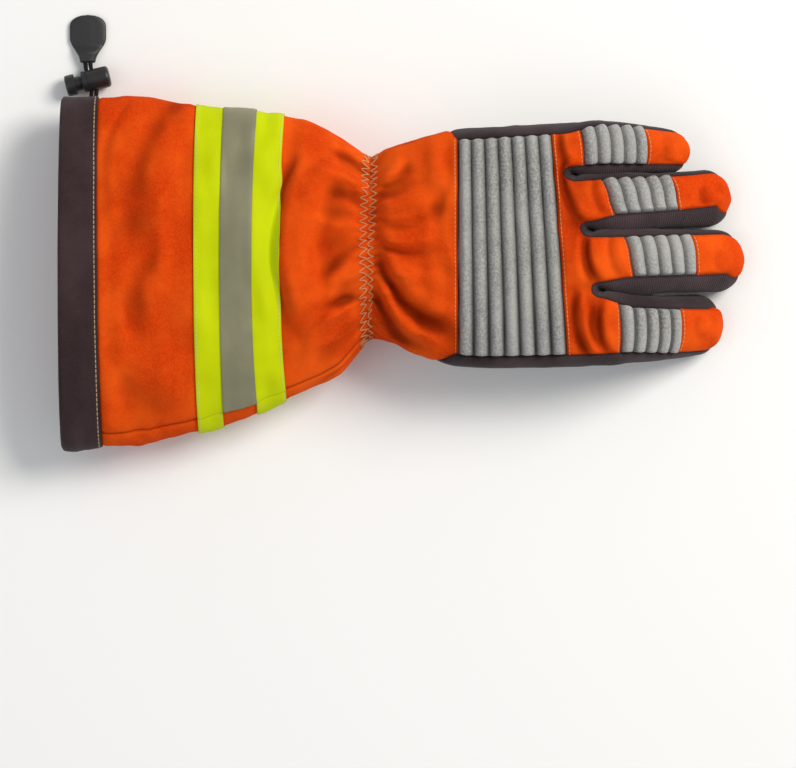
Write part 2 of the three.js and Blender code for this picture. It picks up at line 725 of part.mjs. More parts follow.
// Thumb
const thumbPadStart = thumbRootShare;
const thumbPadEnd = 0.72;
const thumbBaseRows = steps(0, thumbPadStart, 4);
const thumbUnder = steps(2, 3, windowSteps);
const thumbAllRows = [
  ...thumbBaseRows,
  ...steps(thumbPadStart, thumbPadEnd, fingerRibs).slice(1),
  ...tipRows,
];
const windowSide = steps(0, 1, 2);
panel("thumb_base", "orange", 0, -clothWall, new Patch().grid(thumb, thumbBaseRows, thumbUnder));
panel(
  "thumb_pad", "suede", 0, -padWall,
  new Patch().grid(thumb, ribRows(thumbPadStart, thumbPadEnd, fingerRibs), thumbUnder),
);
panel("thumb_tip", "orange", 0, -clothWall, new Patch().grid(thumb, [thumbPadEnd, ...tipRows], thumbUnder));
panel("thumb_front", "suede", 0, -suedeWall, new Patch().grid(thumb, thumbAllRows, steps(0, 1, windowSteps)));
panel(
  "thumb_strip", "twill", 0, -clothWall,
  new Patch()
    .grid(thumb, thumbAllRows, windowSide.map((w) => 1 + w))
    .grid(thumb, thumbAllRows, windowSide.map((w) => 3 + w)),
);

matchNormals(Object.values(patches));

const materials = {
  orange: { color: 0xe8541c, roughness: 0.85, metalness: 0 },
  hem: { color: 0x46393c, roughness: 0.9, metalness: 0 },
  yellow: { color: 0xd2f000, roughness: 0.6, metalness: 0 },
  silver: { color: 0x9a9a96, roughness: 0.35, metalness: 0.3 },
  suede: { color: 0xb0b4b4, roughness: 0.95, metalness: 0 },
  twill: { color: 0x4a3e3d, roughness: 0.9, metalness: 0 },
  black: { color: 0x161616, roughness: 0.4, metalness: 0 },
  steel: { color: 0x8d8a83, roughness: 0.35, metalness: 1 },
};

const group = new THREE.Group();
function add(name, geometry, finish) {
  const mesh = new THREE.Mesh(geometry, new THREE.MeshStandardMaterial(materials[finish]));
  mesh.name = name;
  group.add(mesh);
  return mesh;
}

// Closed meshes as solids, turned to face out, and back again.
function solidOf(geometry) {
  const shape = new THREE.BufferGeometry();
  shape.setAttribute("position", (geometry.index ? geometry.toNonIndexed() : geometry).getAttribute("position"));
  const merged = mergeVertices(shape, 1e-4);
  const triVerts = new Uint32Array(merged.index.array);
  const vertProperties = new Float32Array(merged.getAttribute("position").array);
  const at = (k) => new THREE.Vector3().fromArray(vertProperties, triVerts[k] * 3);
  let volume = 0;
  for (let k = 0; k < triVerts.length; k += 3) volume += at(k).dot(at(k + 1).cross(at(k + 2)));
  if (volume < 0) triVerts.reverse();
  return new wasm.Manifold(new wasm.Mesh({ numProp: 3, vertProperties, triVerts }));
}

function geometryOf(solid) {
  const mesh = solid.getMesh();
  const geometry = new THREE.BufferGeometry();
  geometry.setAttribute("position", new THREE.BufferAttribute(Float32Array.from(mesh.vertProperties), 3));
  geometry.setIndex(Array.from(mesh.triVerts));
  return geometry;
}

// A turned solid whose axis is the given direction: profile rows are radius and height along the axis.
function turned(profile, origin, axis, sides) {
  const lathe = new THREE.LatheGeometry(profile.map(([radius, height]) => new THREE.Vector2(radius, height)), sides);
  lathe.applyQuaternion(new THREE.Quaternion().setFromUnitVectors(new THREE.Vector3(0, 1, 0), axis));
  return lathe.translate(origin.x, origin.y, origin.z);
}

// Eyelet on the palm side of the hem, near the little finger's edge, with a hole through the hem behind it
const eyeletAt = trunk(0.72, 8.97);
const eyeletAxis = normalOf(trunk, 0.72, 8.97);
const eyeletSeat = tapeRise + seamGap;
const rimRound = eyeletThickness / 2;
const eyeletProfile = [
  [eyeletHole / 2, eyeletSeat],
  [eyeletDiameter / 2, eyeletSeat],
  [eyeletDiameter / 2, eyeletSeat + rimRound],
  [(eyeletDiameter + eyeletHole) / 4, eyeletSeat + eyeletThickness],
  [eyeletHole / 2, eyeletSeat + rimRound],
  [eyeletHole / 2, eyeletSeat],
];
const eyelet = turned(eyeletProfile, eyeletAt, eyeletAxis, 14);
const punch = turned(
  [[0, -hemWall - tapeRise], [eyeletHole / 2, -hemWall - tapeRise], [eyeletHole / 2, hemWall], [0, hemWall]],
  eyeletAt, eyeletAxis, 12,
);

// Cord lock lying on the surface: a barrel with a spring plunger, both pierced for the two strands
const lockRadius = lockDiameter / 2;
const lockAxis = new THREE.Vector3(Math.cos((lockTurn * Math.PI) / 180), Math.sin((lockTurn * Math.PI) / 180), 0);
const lockAt = new THREE.Vector3(lockCentre[0], lockCentre[1], lockRadius);
const slotLength = cordSpacing + cordDiameter + 2 * cordClearance;
const slotHeight = cordDiameter + 2 * cordClearance;
const boreRadius = lockRadius - lockWall;
const lockFar = lockLength - lockRim;
const lockRound = 0.08 * lockDiameter;
const barrelProfile = [
  [0, lockFar - lockWall],
  [boreRadius, lockFar - lockWall],
  [boreRadius, -lockRim],
  [lockRadius, -lockRim],
  [lockRadius, lockFar - lockRound],
  [lockRadius - lockRound, lockFar],
  [0, lockFar],
];
const stemRadius = boreRadius - plungerFit;
const headFace = -lockRim - plungerTravel - plungerFit;
const stemEnd = slotLength / 2 + 0.12 * lockDiameter;
const plungerProfile = [
  [0, headFace - plungerHead],
  [lockRadius - 2 * lockRound, headFace - plungerHead],
  [lockRadius, headFace - plungerHead + lockRound],
  [lockRadius, headFace],
  [stemRadius, headFace],
  [stemRadius, stemEnd],
  [0, stemEnd],
];
function cordSlot(from, to) {
  const box = new THREE.BoxGeometry(to - from, 3 * lockDiameter, slotHeight);
  box.translate((from + to) / 2, 0, 0).rotateZ((lockTurn * Math.PI) / 180);
  return solidOf(box.translate(lockAt.x, lockAt.y, lockAt.z));
}
const barrel = solidOf(turned(barrelProfile, lockAt, lockAxis, 16))
  .subtract(cordSlot(-slotLength / 2, slotLength / 2));
const plunger = solidOf(turned(plungerProfile, lockAt, lockAxis, 16))
  .subtract(cordSlot(-slotLength / 2 - plungerTravel, slotLength / 2));

// Two strands side by side along the lock's axis
function strand(side) {
  const route = cordRoute.map(([x, y, z]) => new THREE.Vector3(x, y, z).addScaledVector(lockAxis, side));
  const section = new THREE.Shape();
  section.absarc(0, 0, cordDiameter / 2, 0, 2 * Math.PI);
  return new THREE.ExtrudeGeometry(section, {
    extrudePath: new THREE.CatmullRomCurve3(route),
    steps: 12,
    curveSegments: 4,
    bevelEnabled: false,
  });
}

// Pull tab: a flat paddle with a thick neck where the strands end
const tabStart = cordRoute[cordRoute.length - 1];
const tabY = tabStart[1] + (cordSpacing / 2) * lockAxis.y + 2 * seamGap;
const paddle = new THREE.Shape();
paddle.moveTo(-tabNeck / 2, 0);
paddle.lineTo(tabNeck / 2, 0);
paddle.lineTo(tabWidth / 2, 0.45 * tabLength);
paddle.lineTo(tabWidth / 2, tabLength - 0.3 * tabWidth);
paddle.quadraticCurveTo(tabWidth / 2, tabLength, 0, tabLength);
paddle.quadraticCurveTo(-tabWidth / 2, tabLength, -tabWidth / 2, tabLength - 0.3 * tabWidth);
paddle.lineTo(-tabWidth / 2, 0.45 * tabLength);
const tabPlate = new THREE.ExtrudeGeometry(paddle, { depth: tabThickness, curveSegments: 5, bevelEnabled: false });
const neckHeight = tabStart[2] + cordDiameter / 2 + 0.6;
const neckBlock = new THREE.BoxGeometry(tabNeck, 0.3 * tabLength, neckHeight);
neckBlock.translate(0, 0.15 * tabLength, neckHeight / 2);
const tab = solidOf(tabPlate).add(solidOf(neckBlock));

for (const { name, material, outer, inner } of walls) {
  const geometry = wall(patches[name], outer, inner);
  add(name, name === "hem_band" ? geometryOf(solidOf(geometry).subtract(solidOf(punch))) : geometry, material);
}
add("eyelet", eyelet, "steel");
add("cord_lock_barrel", geometryOf(barrel), "black");
add("cord_lock_plunger", geometryOf(plunger), "black");
add("cord_strand_aft", strand(-cordSpacing / 2), "black");
add("cord_strand_fore", strand(cordSpacing / 2), "black");
add("pull_tab", geometryOf(tab), "black").position.set(tabStart[0], tabY, 0);

export default group;
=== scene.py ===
import math

import bmesh
import bpy
import numpy as np
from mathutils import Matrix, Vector


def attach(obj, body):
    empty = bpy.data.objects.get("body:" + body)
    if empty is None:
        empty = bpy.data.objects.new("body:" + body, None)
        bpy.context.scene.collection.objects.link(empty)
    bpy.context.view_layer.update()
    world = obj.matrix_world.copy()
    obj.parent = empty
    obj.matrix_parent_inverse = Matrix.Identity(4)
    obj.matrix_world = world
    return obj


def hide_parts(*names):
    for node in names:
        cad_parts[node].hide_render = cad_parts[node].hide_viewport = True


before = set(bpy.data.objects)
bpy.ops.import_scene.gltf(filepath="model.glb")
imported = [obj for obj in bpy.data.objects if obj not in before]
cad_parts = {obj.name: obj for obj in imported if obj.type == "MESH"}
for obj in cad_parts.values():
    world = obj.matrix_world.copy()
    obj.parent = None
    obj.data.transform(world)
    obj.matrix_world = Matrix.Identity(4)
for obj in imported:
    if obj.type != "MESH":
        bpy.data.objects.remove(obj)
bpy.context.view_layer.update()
for leftover in ("Cube", "Light", "Camera"):
    if leftover in bpy.data.objects:
        bpy.data.objects.remove(bpy.data.objects[leftover], do_unlink=True)

camera = {"middle": (-0.0031, -0.0639), "frameWidth": 0.452, "framedHeight": 0.04, "distance": 2.6, "sensor": 36.0,
          "farthest": 20}
lights = [
    {"name": "keyPanel", "at": (1.62, 1.05, 1.9), "size": 1.2, "watts": 62.0, "colour": (1.0, 0.96, 0.90)},
    {"name": "fillPanel", "at": (-1.4, -0.55, 1.7), "size": 1.8, "watts": 8.5, "colour": (0.93, 0.96, 1.0)},
]
studio = {"tone": (0.95, 0.97, 1.0), "strength": 0.42, "aim": (0, 0, 0.02)}
floorSpec = {"tone": (0.93, 0.93, 0.92), "rough": 0.9, "half": 4}


def placed(name, data):
    # a new object in the scene
    thing = bpy.data.objects.new(name, data)
    bpy.context.collection.objects.link(thing)
    return thing


def aimAt(thing, target):
    # turns a lamp's -Z axis to the target
    thing.rotation_euler = (Vector(target) - thing.location).to_track_quat("-Z", "Y").to_euler()


cameraData = bpy.data.cameras.new("camera")
cameraObject = placed("camera", cameraData)
cameraObject.location = (*camera["middle"], camera["distance"])
cameraData.sensor_width = camera["sensor"]
cameraData.lens = camera["sensor"] * (camera["distance"] - camera["framedHeight"]) / camera["frameWidth"]
cameraData.clip_end = camera["farthest"]
bpy.context.scene.camera = cameraObject

for spec in lights:
    lamp = bpy.data.lights.new(spec["name"], "AREA")
    lamp.shape = "SQUARE"
    lamp.size = spec["size"]
    lamp.energy = spec["watts"]
    lamp.color = spec["colour"]
    lampObject = placed(spec["name"], lamp)
    lampObject.location = spec["at"]
    aimAt(lampObject, studio["aim"])

world = bpy.data.worlds.new("studio")
world.use_nodes = True
background = world.node_tree.nodes["Background"]
background.inputs["Color"].default_value = (*studio["tone"], 1)
background.inputs["Strength"].default_value = studio["strength"]
bpy.context.scene.world = world
bpy.context.scene.view_settings.view_transform = "Standard"

print("stage: camera and light done")


def setInputs(node, values):
    # constants, each on the socket with its label
    for label, value in values.items():
        node.inputs[label].default_value = value


def newMaterial(name):
    # a material, its nodes and its Principled BSDF
    material = bpy.data.materials.new(name)
    material.use_nodes = True
    return material, material.node_tree, material.node_tree.nodes["Principled BSDF"]


def newGroup(name, inputs, outputs):
    # an empty shader group with named sockets, and its two end nodes
    group = bpy.data.node_groups.new(name, "ShaderNodeTree")
    for label, kind, value in inputs:
        socket = group.interface.new_socket(label, in_out="INPUT", socket_type="NodeSocket" + kind)
        if value is not None:
            socket.default_value = value
    for label, kind in outputs:
        group.interface.new_socket(label, in_out="OUTPUT", socket_type="NodeSocket" + kind)
    return group, group.nodes.new("NodeGroupInput"), group.nodes.new("NodeGroupOutput")


def mathNode(tree, operation, *values, clamp=False):
    # one Math node whose inputs are numbers or sockets, and its output
    node = tree.nodes.new("ShaderNodeMath")
    node.operation = operation
    node.use_clamp = clamp
    for socket, value in zip(node.inputs, values):
        if isinstance(value, (int, float)):
            socket.default_value = value
        else:
            tree.links.new(value, socket)
    return node.outputs[0]


def waveNode(tree, length, pitch, turn):
    # sin(turn * length / pitch)
    return mathNode(tree, "SINE", mathNode(tree, "MULTIPLY", mathNode(tree, "DIVIDE", length, pitch), turn))


def mixColour(tree, factor, first, second):
    # first (1 - factor) + second factor, factor held from 0 to 1
    node = tree.nodes.new("ShaderNodeMix")
    node.data_type = "RGBA"
    node.clamp_factor = True
    for socket, value in ((node.inputs[0], factor), (node.inputs[6], first), (node.inputs[7], second)):
        if isinstance(value, (int, float)):
            socket.default_value = value
        elif isinstance(value, tuple):
            socket.default_value = (*value, 1)
        else:
            tree.links.new(value, socket)
    return node.outputs[2]


def noiseNode(tree, vector, scale, detail, rough=0.55):
    # noise of a place in metres, with so many cells to the metre
    node = tree.nodes.new("ShaderNodeTexNoise")
    setInputs(node, {"Scale": scale, "Detail": detail, "Roughness": rough})
    tree.links.new(vector, node.inputs["Vector"])
    return node.outputs["Fac"]


def smoothStep(tree, value, low, high):
    # s s (3 - 2 s) with s = (value - low) / (high - low) held between 0 and 1
    node = tree.nodes.new("ShaderNodeMapRange")
    node.interpolation_type = "SMOOTHSTEP"
    setInputs(node, {"From Min": low, "From Max": high})
    tree.links.new(value, node.inputs["Value"])
    return node.outputs["Result"]


def makeThreadGroup(name, pitch, pattern):
    # height of a cloth's threads, worked out by a pattern from the cloth coordinates u and v and the pitch p
    group, source, sink = newGroup(name, [("Cloth", "Vector", None), ("Pitch", "Float", pitch)], [("Height", "Float")])
    split = group.nodes.new("ShaderNodeSeparateXYZ")
    group.links.new(source.outputs["Cloth"], split.inputs[0])
    height = pattern(group, split.outputs[0], split.outputs[1], source.outputs["Pitch"])
    group.links.new(height, sink.inputs["Height"])
    return group


def plainWeave(group, u, v, pitch):
    # 0.5 + 0.5 sin(pi u / p) sin(pi v / p)
    product = mathNode(group, "MULTIPLY", waveNode(group, u, pitch, math.pi), waveNode(group, v, pitch, math.pi))
    return mathNode(group, "MULTIPLY_ADD", product, 0.5, 0.5)


def twillLines(group, u, v, pitch):
    # 0.5 + 0.4 (sin(2 pi (u + v) / p) + 0.25 sin(3 pi (u - v) / p))
    lines = waveNode(group, mathNode(group, "ADD", u, v), pitch, 2 * math.pi)
    breaks = waveNode(group, mathNode(group, "SUBTRACT", u, v), pitch, 3 * math.pi)
    return mathNode(group, "MULTIPLY_ADD", mathNode(group, "MULTIPLY_ADD", breaks, 0.25, lines), 0.4, 0.5)


def makeStitchGroup():
    # dashes of thread: 1 where |gap - offset| < width / 2 and |run / pitch - its middle| < 0.38, soft at the edges
    group, source, sink = newGroup(
        "stitchRow",
        [("Gap", "Float", 0.0), ("Run", "Float", 0.0), ("Offset", "Float", 2.0), ("Pitch", "Float", 3.2),
         ("Width", "Float", 0.6)],
        [("Mask", "Float")],
    )
    aside = mathNode(group, "ABSOLUTE", mathNode(group, "SUBTRACT", source.outputs["Gap"], source.outputs["Offset"]))
    ratio = mathNode(group, "DIVIDE", aside, source.outputs["Width"])
    across = smoothStep(group, ratio, 0.62, 0.38)
    phase = mathNode(group, "FRACT", mathNode(group, "DIVIDE", source.outputs["Run"], source.outputs["Pitch"]))
    centred = mathNode(group, "ABSOLUTE", mathNode(group, "SUBTRACT", phase, 0.5))
    dash = smoothStep(group, centred, 0.42, 0.34)
    group.links.new(mathNode(group, "MULTIPLY", across, dash), sink.inputs["Mask"])
    return group


def makeSeamGroup():
    # painted shade in a seam's groove: falls from 1 in the seam to 0 at the given reach
    group, source, sink = newGroup("seamShade", [("Gap", "Float", 0.0), ("Reach", "Float", 1.2)], [("Mask", "Float")])
    ratio = mathNode(group, "DIVIDE", source.outputs["Gap"], source.outputs["Reach"])
    group.links.new(smoothStep(group, ratio, 1.0, 0.0), sink.inputs["Mask"])
    return group


def makeMottleGroup():
    # slow change of tone and fine grain: two noises of the place, each 0.5 in the mean
    group, source, sink = newGroup("mottle", [("Place", "Vector", None)], [("Tone", "Float"), ("Grain", "Float")])
    slow = noiseNode(group, source.outputs["Place"], 28.0, 4.0)
    fine = noiseNode(group, source.outputs["Place"], 760.0, 3.0, 0.6)
    group.links.new(slow, sink.inputs["Tone"])
    group.links.new(fine, sink.inputs["Grain"])
    return group


weaveGroup = makeThreadGroup("plainWeave", 0.7, plainWeave)
twillGroup = makeThreadGroup("twillLines", 1.1, twillLines)
stitchGroup = makeStitchGroup()
seamGroup = makeSeamGroup()
mottleGroup = makeMottleGroup()


def placeGroup(tree, group, links, values=None):
    # one use of a shader group, its inputs linked by label or set
    node = tree.nodes.new("ShaderNodeGroup")
    node.node_tree = group
    for label, socket in links.items():
        tree.links.new(socket, node.inputs[label])
    setInputs(node, values or {})
    return node


def attributeNode(tree, name):
    # the value of a point attribute of the mesh
    node = tree.nodes.new("ShaderNodeAttribute")
    node.attribute_name = name
    return node.outputs["Fac"]


def darker(tone, share):
    # every channel times the share
    return tuple(share * channel for channel in tone)


clothLook = {"mottle": 0.55, "fibre": 0.9, "threadShade": 0.6, "seamTone": 0.25, "paintedShadeTone": 0.22, "stitchRise": 1.2,
             "bump": 0.8, "sheenRough": 0.5}


def clothMaterial(name, base, dark, light, grainDepth, rough, seamTone, weave=None, pitch=1.0, weaveDepth=0.0,
                  sheen=0.0, sheenTint=(1, 1, 1), stitches=(), thread=None, seamReach=1.3, metal=0.0, glow=0.0,
                  gloss=0.1, paintedShadeTone=0.5, bumpDepth=0.0004):
    # cloth: base colour pulled to dark and light by slow noise, weave and grain as bump, painted shade between the
    # weave's threads, in the seams and in creases, folds and rib valleys, stitches on top
    material, tree, shader = newMaterial(name)
    place = tree.nodes.new("ShaderNodeTexCoord").outputs["Object"]
    cloth = tree.nodes.new("ShaderNodeUVMap")
    cloth.uv_map = "cloth"
    mottle = placeGroup(tree, mottleGroup, {"Place": place})
    tone = smoothStep(tree, mottle.outputs["Tone"], 0.3, 0.72)
    colour = mixColour(tree, tone, dark, light)
    colour = mixColour(tree, clothLook["mottle"], base, colour)
    fibre = smoothStep(tree, mottle.outputs["Grain"], 0.35, 0.7)
    colour = mixColour(tree, mathNode(tree, "MULTIPLY", fibre, grainDepth * clothLook["fibre"]), colour, light)
    height = mathNode(tree, "MULTIPLY", mottle.outputs["Grain"], grainDepth)
    if weave is not None:
        threads = placeGroup(tree, weave, {"Cloth": cloth.outputs["UV"]}, {"Pitch": pitch})
        height = mathNode(tree, "MULTIPLY_ADD", threads.outputs["Height"], weaveDepth, height)
        low = mathNode(tree, "SUBTRACT", 1.0, threads.outputs["Height"])
        shade = mathNode(tree, "MULTIPLY", low, weaveDepth * clothLook["threadShade"])
        colour = mixColour(tree, shade, colour, dark)
    gap = attributeNode(tree, "seamGap")
    seam = placeGroup(tree, seamGroup, {"Gap": gap}, {"Reach": seamReach})
    # painted shade in the seams' grooves: the colour pulled towards a darker copy of dark
    inSeam = mathNode(tree, "MULTIPLY", seam.outputs["Mask"], seamTone)
    colour = mixColour(tree, inSeam, colour, darker(dark, clothLook["seamTone"]))
    # painted shade in creases, folds and valleys: the colour pulled towards a darker copy of dark by the mesh's painted
    # shade field
    paintedShade = mathNode(tree, "MULTIPLY", attributeNode(tree, "paintedShade"), paintedShadeTone, clamp=True)
    colour = mixColour(tree, paintedShade, colour, darker(dark, clothLook["paintedShadeTone"]))
    if stitches:
        sewn = {"Gap": attributeNode(tree, "stitchGap"), "Run": attributeNode(tree, "stitchRun")}
        total = None
        for row in stitches:
            mask = placeGroup(tree, stitchGroup, sewn, row).outputs["Mask"]
            total = mask if total is None else mathNode(tree, "MAXIMUM", total, mask)
        colour = mixColour(tree, total, colour, thread)
        height = mathNode(tree, "MULTIPLY_ADD", total, clothLook["stitchRise"], height)
    bump = tree.nodes.new("ShaderNodeBump")
    setInputs(bump, {"Strength": clothLook["bump"], "Distance": bumpDepth})
    tree.links.new(height, bump.inputs["Height"])
    tree.links.new(bump.outputs["Normal"], shader.inputs["Normal"])
    tree.links.new(colour, shader.inputs["Base Color"])
    setInputs(shader, {"Roughness": rough, "Specular IOR Level": gloss, "Metallic": metal, "Sheen Weight": sheen,
                       "Sheen Roughness": clothLook["sheenRough"], "Sheen Tint": (*sheenTint, 1)})
    if glow:
        setInputs(shader, {"Emission Color": (*base, 1), "Emission Strength": glow})
    return material


def hardMaterial(name, base, rough, metal=0.0):
    # moulded or metal part: roughness varied by slow noise, colour by fine grain
    varied, grain = 0.15, 0.4
    light = tuple(min(1, 1.8 * channel + 0.01) for channel in base)
    material, tree, shader = newMaterial(name)
    place = tree.nodes.new("ShaderNodeTexCoord").outputs["Object"]
    mottle = placeGroup(tree, mottleGroup, {"Place": place})
    uneven = mathNode(tree, "MULTIPLY_ADD", mottle.outputs["Tone"], varied, rough - varied / 2)
    specks = mathNode(tree, "MULTIPLY", mottle.outputs["Grain"], grain)
    tree.links.new(uneven, shader.inputs["Roughness"])
    tree.links.new(mixColour(tree, specks, base, light), shader.inputs["Base Color"])
    setInputs(shader, {"Metallic": metal})
    return material


def sewnRow(offset, pitch, width):
    # a row of stitches: how far from the sewn edge, one stitch's length and the thread's width, in millimetres
    return {"Offset": offset, "Pitch": pitch, "Width": width}


orangeCloth = clothMaterial(
    "orangeCloth", base=(0.73, 0.066, 0.003), dark=(0.50, 0.020, 0.001), light=(0.92, 0.135, 0.010), weave=weaveGroup,
    pitch=0.75, weaveDepth=0.35, grainDepth=0.3, rough=0.88, sheen=0.04, sheenTint=(1, 0.4, 0.15),
    stitches=[sewnRow(1.5, 2.5, 0.5)], thread=(0.80, 0.27, 0.10), seamTone=0.55, gloss=0.035, paintedShadeTone=0.72)
suedeSkin = clothMaterial(
    "greySuede", base=(0.30, 0.297, 0.285), dark=(0.17, 0.167, 0.16), light=(0.44, 0.437, 0.42), grainDepth=0.95,
    rough=0.95, sheen=0.15, seamTone=0.7, seamReach=1.6, stitches=[sewnRow(1.6, 2.8, 0.7), sewnRow(5.2, 2.8, 0.7)],
    thread=(0.56, 0.52, 0.44), gloss=0.05, paintedShadeTone=0.85, bumpDepth=0.0009)
twillCloth = clothMaterial(
    "darkTwill", base=(0.042, 0.024, 0.027), dark=(0.018, 0.010, 0.012), light=(0.092, 0.060, 0.066), weave=twillGroup,
    pitch=1.5, weaveDepth=0.9, grainDepth=0.25, rough=0.8, sheen=0.1, seamTone=0.6, gloss=0.2)
hemCloth = clothMaterial(
    "hemTwill", base=(0.040, 0.020, 0.022), dark=(0.022, 0.011, 0.012), light=(0.068, 0.040, 0.042), weave=twillGroup,
    pitch=1.3, weaveDepth=0.5, grainDepth=0.25, rough=0.82, sheen=0.08, stitches=[sewnRow(1.5, 2.8, 0.55)],
    thread=(0.45, 0.33, 0.21), seamTone=0.4, gloss=0.15)
yellowTape = clothMaterial(
    "yellowTape", base=(0.525, 0.615, 0.0), dark=(0.45, 0.54, 0.0), light=(0.58, 0.675, 0.002), weave=weaveGroup,
    pitch=0.6, weaveDepth=0.25, grainDepth=0.1, rough=0.65, glow=0.05, stitches=[sewnRow(1.3, 2.4, 0.42)],
    thread=(0.62, 0.62, 0.22), seamTone=0.35, seamReach=0.6, gloss=0.08)
silverTape = clothMaterial(
    "silverTape", base=(0.25, 0.238, 0.15), dark=(0.20, 0.19, 0.115), light=(0.30, 0.288, 0.19), weave=weaveGroup,
    pitch=0.45, weaveDepth=0.1, grainDepth=0.12, rough=0.45, metal=0.2, seamTone=0.3, seamReach=0.6, gloss=0.2)
threadMaterial = clothMaterial(
    "gatherThread", base=(0.62, 0.26, 0.11), dark=(0.42, 0.14, 0.05), light=(0.80, 0.42, 0.21), grainDepth=0.3,
    rough=0.7, seamTone=0.0)
cordMaterial = clothMaterial(
    "cordBraid", base=(0.016, 0.016, 0.017), dark=(0.008, 0.008, 0.008), light=(0.04, 0.04, 0.042), weave=twillGroup,
    pitch=1.0, weaveDepth=1.0, grainDepth=0.1, rough=0.75, seamTone=0.0)
blackMoulding = hardMaterial("blackMoulding", (0.012, 0.012, 0.013), 0.38)
tabMoulding = hardMaterial("tabMoulding", (0.014, 0.014, 0.015), 0.5)
eyeletMetal = hardMaterial("eyeletMetal", (0.40, 0.36, 0.28), 0.34, metal=1.0)
print("stage: materials done")

glove = {
    "length": 390.0, "mouthWidth": 201.0, "mouthHeight": 60.0, "wristWidth": 103.0, "wristHeight": 43.0,
    "palmWidth": 136.0, "palmThickness": 36.0, "fingerThickness": 26.0, "thumbWidth": 50.0, "thumbThickness": 26.0,
    "thumbClearance": 3.0, "hemWidth": 21.0, "tapeWidth": 50.0, "silverWidth": 19.0, "tapeFromMouth": 77.0,
    "tapeSeat": 0.3, "tapeWall": 0.9, "silverWall": 0.5, "clothWall": 2.0, "suedeWall": 2.4, "padWall": 3.0,
    "hemWall": 3.2, "valleyDepth": 3.0,
}
gloveLength = glove["length"]
fingerWidth = 0.243 * glove["palmWidth"]
palmLift = glove["thumbThickness"] + glove["thumbClearance"]
tapeRise = glove["tapeSeat"] + glove["tapeWall"]
palmTapeWidth = (glove["tapeWidth"] - glove["silverWidth"]) / 2
mouthX = -gloveLength / 2
hemX = mouthX + glove["hemWidth"]
tapeX = mouthX + glove["tapeFromMouth"]
gatherX = -0.05 * gloveLength


def table(columns, rows):
    # one dictionary to each row
    return [dict(zip(columns, row)) for row in rows]


def mix(start, end, share):
    # start (1 - share) + end share
    return start + (end - start) * share


def ease(share):
    # s s (3 - 2 s) with s held between 0 and 1
    s = np.clip(share, 0.0, 1.0)
    return s * s * (3 - 2 * s)


def signedPower(value, power):
    # sign(value) |value|^power
    return np.sign(value) * np.abs(value) ** power


def runAlong(path):
    # length along a path from its first point to each of its points
    return np.concatenate([[0], np.cumsum(np.linalg.norm(np.diff(path, axis=0), axis=1))])


def rowOf(x, y, z):
    # points (x, y, z) along the last axis
    return np.stack(np.broadcast_arrays(x, y, z), axis=-1).astype(float)


sectionRows = table(
    ["along", "width", "pinky", "index", "lift", "height", "tall", "round"],
    [
        [-0.52, "mouthWidth", 0.5, -0.5, -0.14, "mouthHeight", 1.07, 2.0],
        [-0.385, "mouthWidth", 0.495, -0.489, -0.14, "mouthHeight", 1.05, 2.0],
        [-0.267, "mouthWidth", 0.463, -0.433, -0.13, "mouthHeight", 1.03, 2.0],
        [-0.151, "mouthWidth", 0.424, -0.345, -0.06, "mouthHeight", 0.98, 2.0],
        [-0.093, "mouthWidth", 0.374, -0.286, 0.1, "mouthHeight", 0.89, 2.0],
        [-0.05, "wristWidth", 0.626, -0.374, 0.34, "wristHeight", 1.0, 2.05],
        [-0.02, "wristWidth", 0.675, -0.39, 0.55, "wristHeight", 1.04, 2.15],
        [0.024, "palmWidth", 0.556, -0.353, 0.8, "palmThickness", 1.1, 2.25],
        [0.068, "palmWidth", 0.584, -0.386, 0.96, "palmThickness", 1.04, 2.35],
        [0.112, "palmWidth", 0.592, -0.399, 1.0, "palmThickness", 1.0, 2.4],
        [0.199, "palmWidth", 0.608, -0.396, 1.02, "palmThickness", 0.98, 2.4],
        [0.3, "palmWidth", 0.622, -0.388, 1.04, "palmThickness", 0.93, 2.4],
    ],
)
sectionX = np.array([row["along"] * gloveLength for row in sectionRows])
sectionValues = {
    "pinky": np.array([row["pinky"] * glove[row["width"]] for row in sectionRows]),
    "index": np.array([row["index"] * glove[row["width"]] for row in sectionRows]),
    "under": np.array([row["lift"] * palmLift for row in sectionRows]),
    "top": np.array([row["lift"] * palmLift + row["tall"] * glove[row["height"]] for row in sectionRows]),
    "round": np.array([row["round"] for row in sectionRows]),
}


def along(column, x):
    # cubic pieces through a column of the sections, each knot's slope taken from its two neighbours
    values = sectionValues[column]
    slopes = np.empty_like(values)
    slopes[1:-1] = (values[2:] - values[:-2]) / (sectionX[2:] - sectionX[:-2])
    slopes[0] = (values[1] - values[0]) / (sectionX[1] - sectionX[0])
    slopes[-1] = (values[-1] - values[-2]) / (sectionX[-1] - sectionX[-2])
    k = np.searchsorted(sectionX[1:-1], x, side="left")
    span = sectionX[k + 1] - sectionX[k]
    s = np.clip((x - sectionX[k]) / span, 0, 1)
    start, end = values[k], values[k + 1]
    return (start * (2 * s**3 - 3 * s**2 + 1) + end * (3 * s**2 - 2 * s**3)
            + span * (slopes[k] * (s**3 - 2 * s**2 + s) + slopes[k + 1] * (s**3 - s**2)))


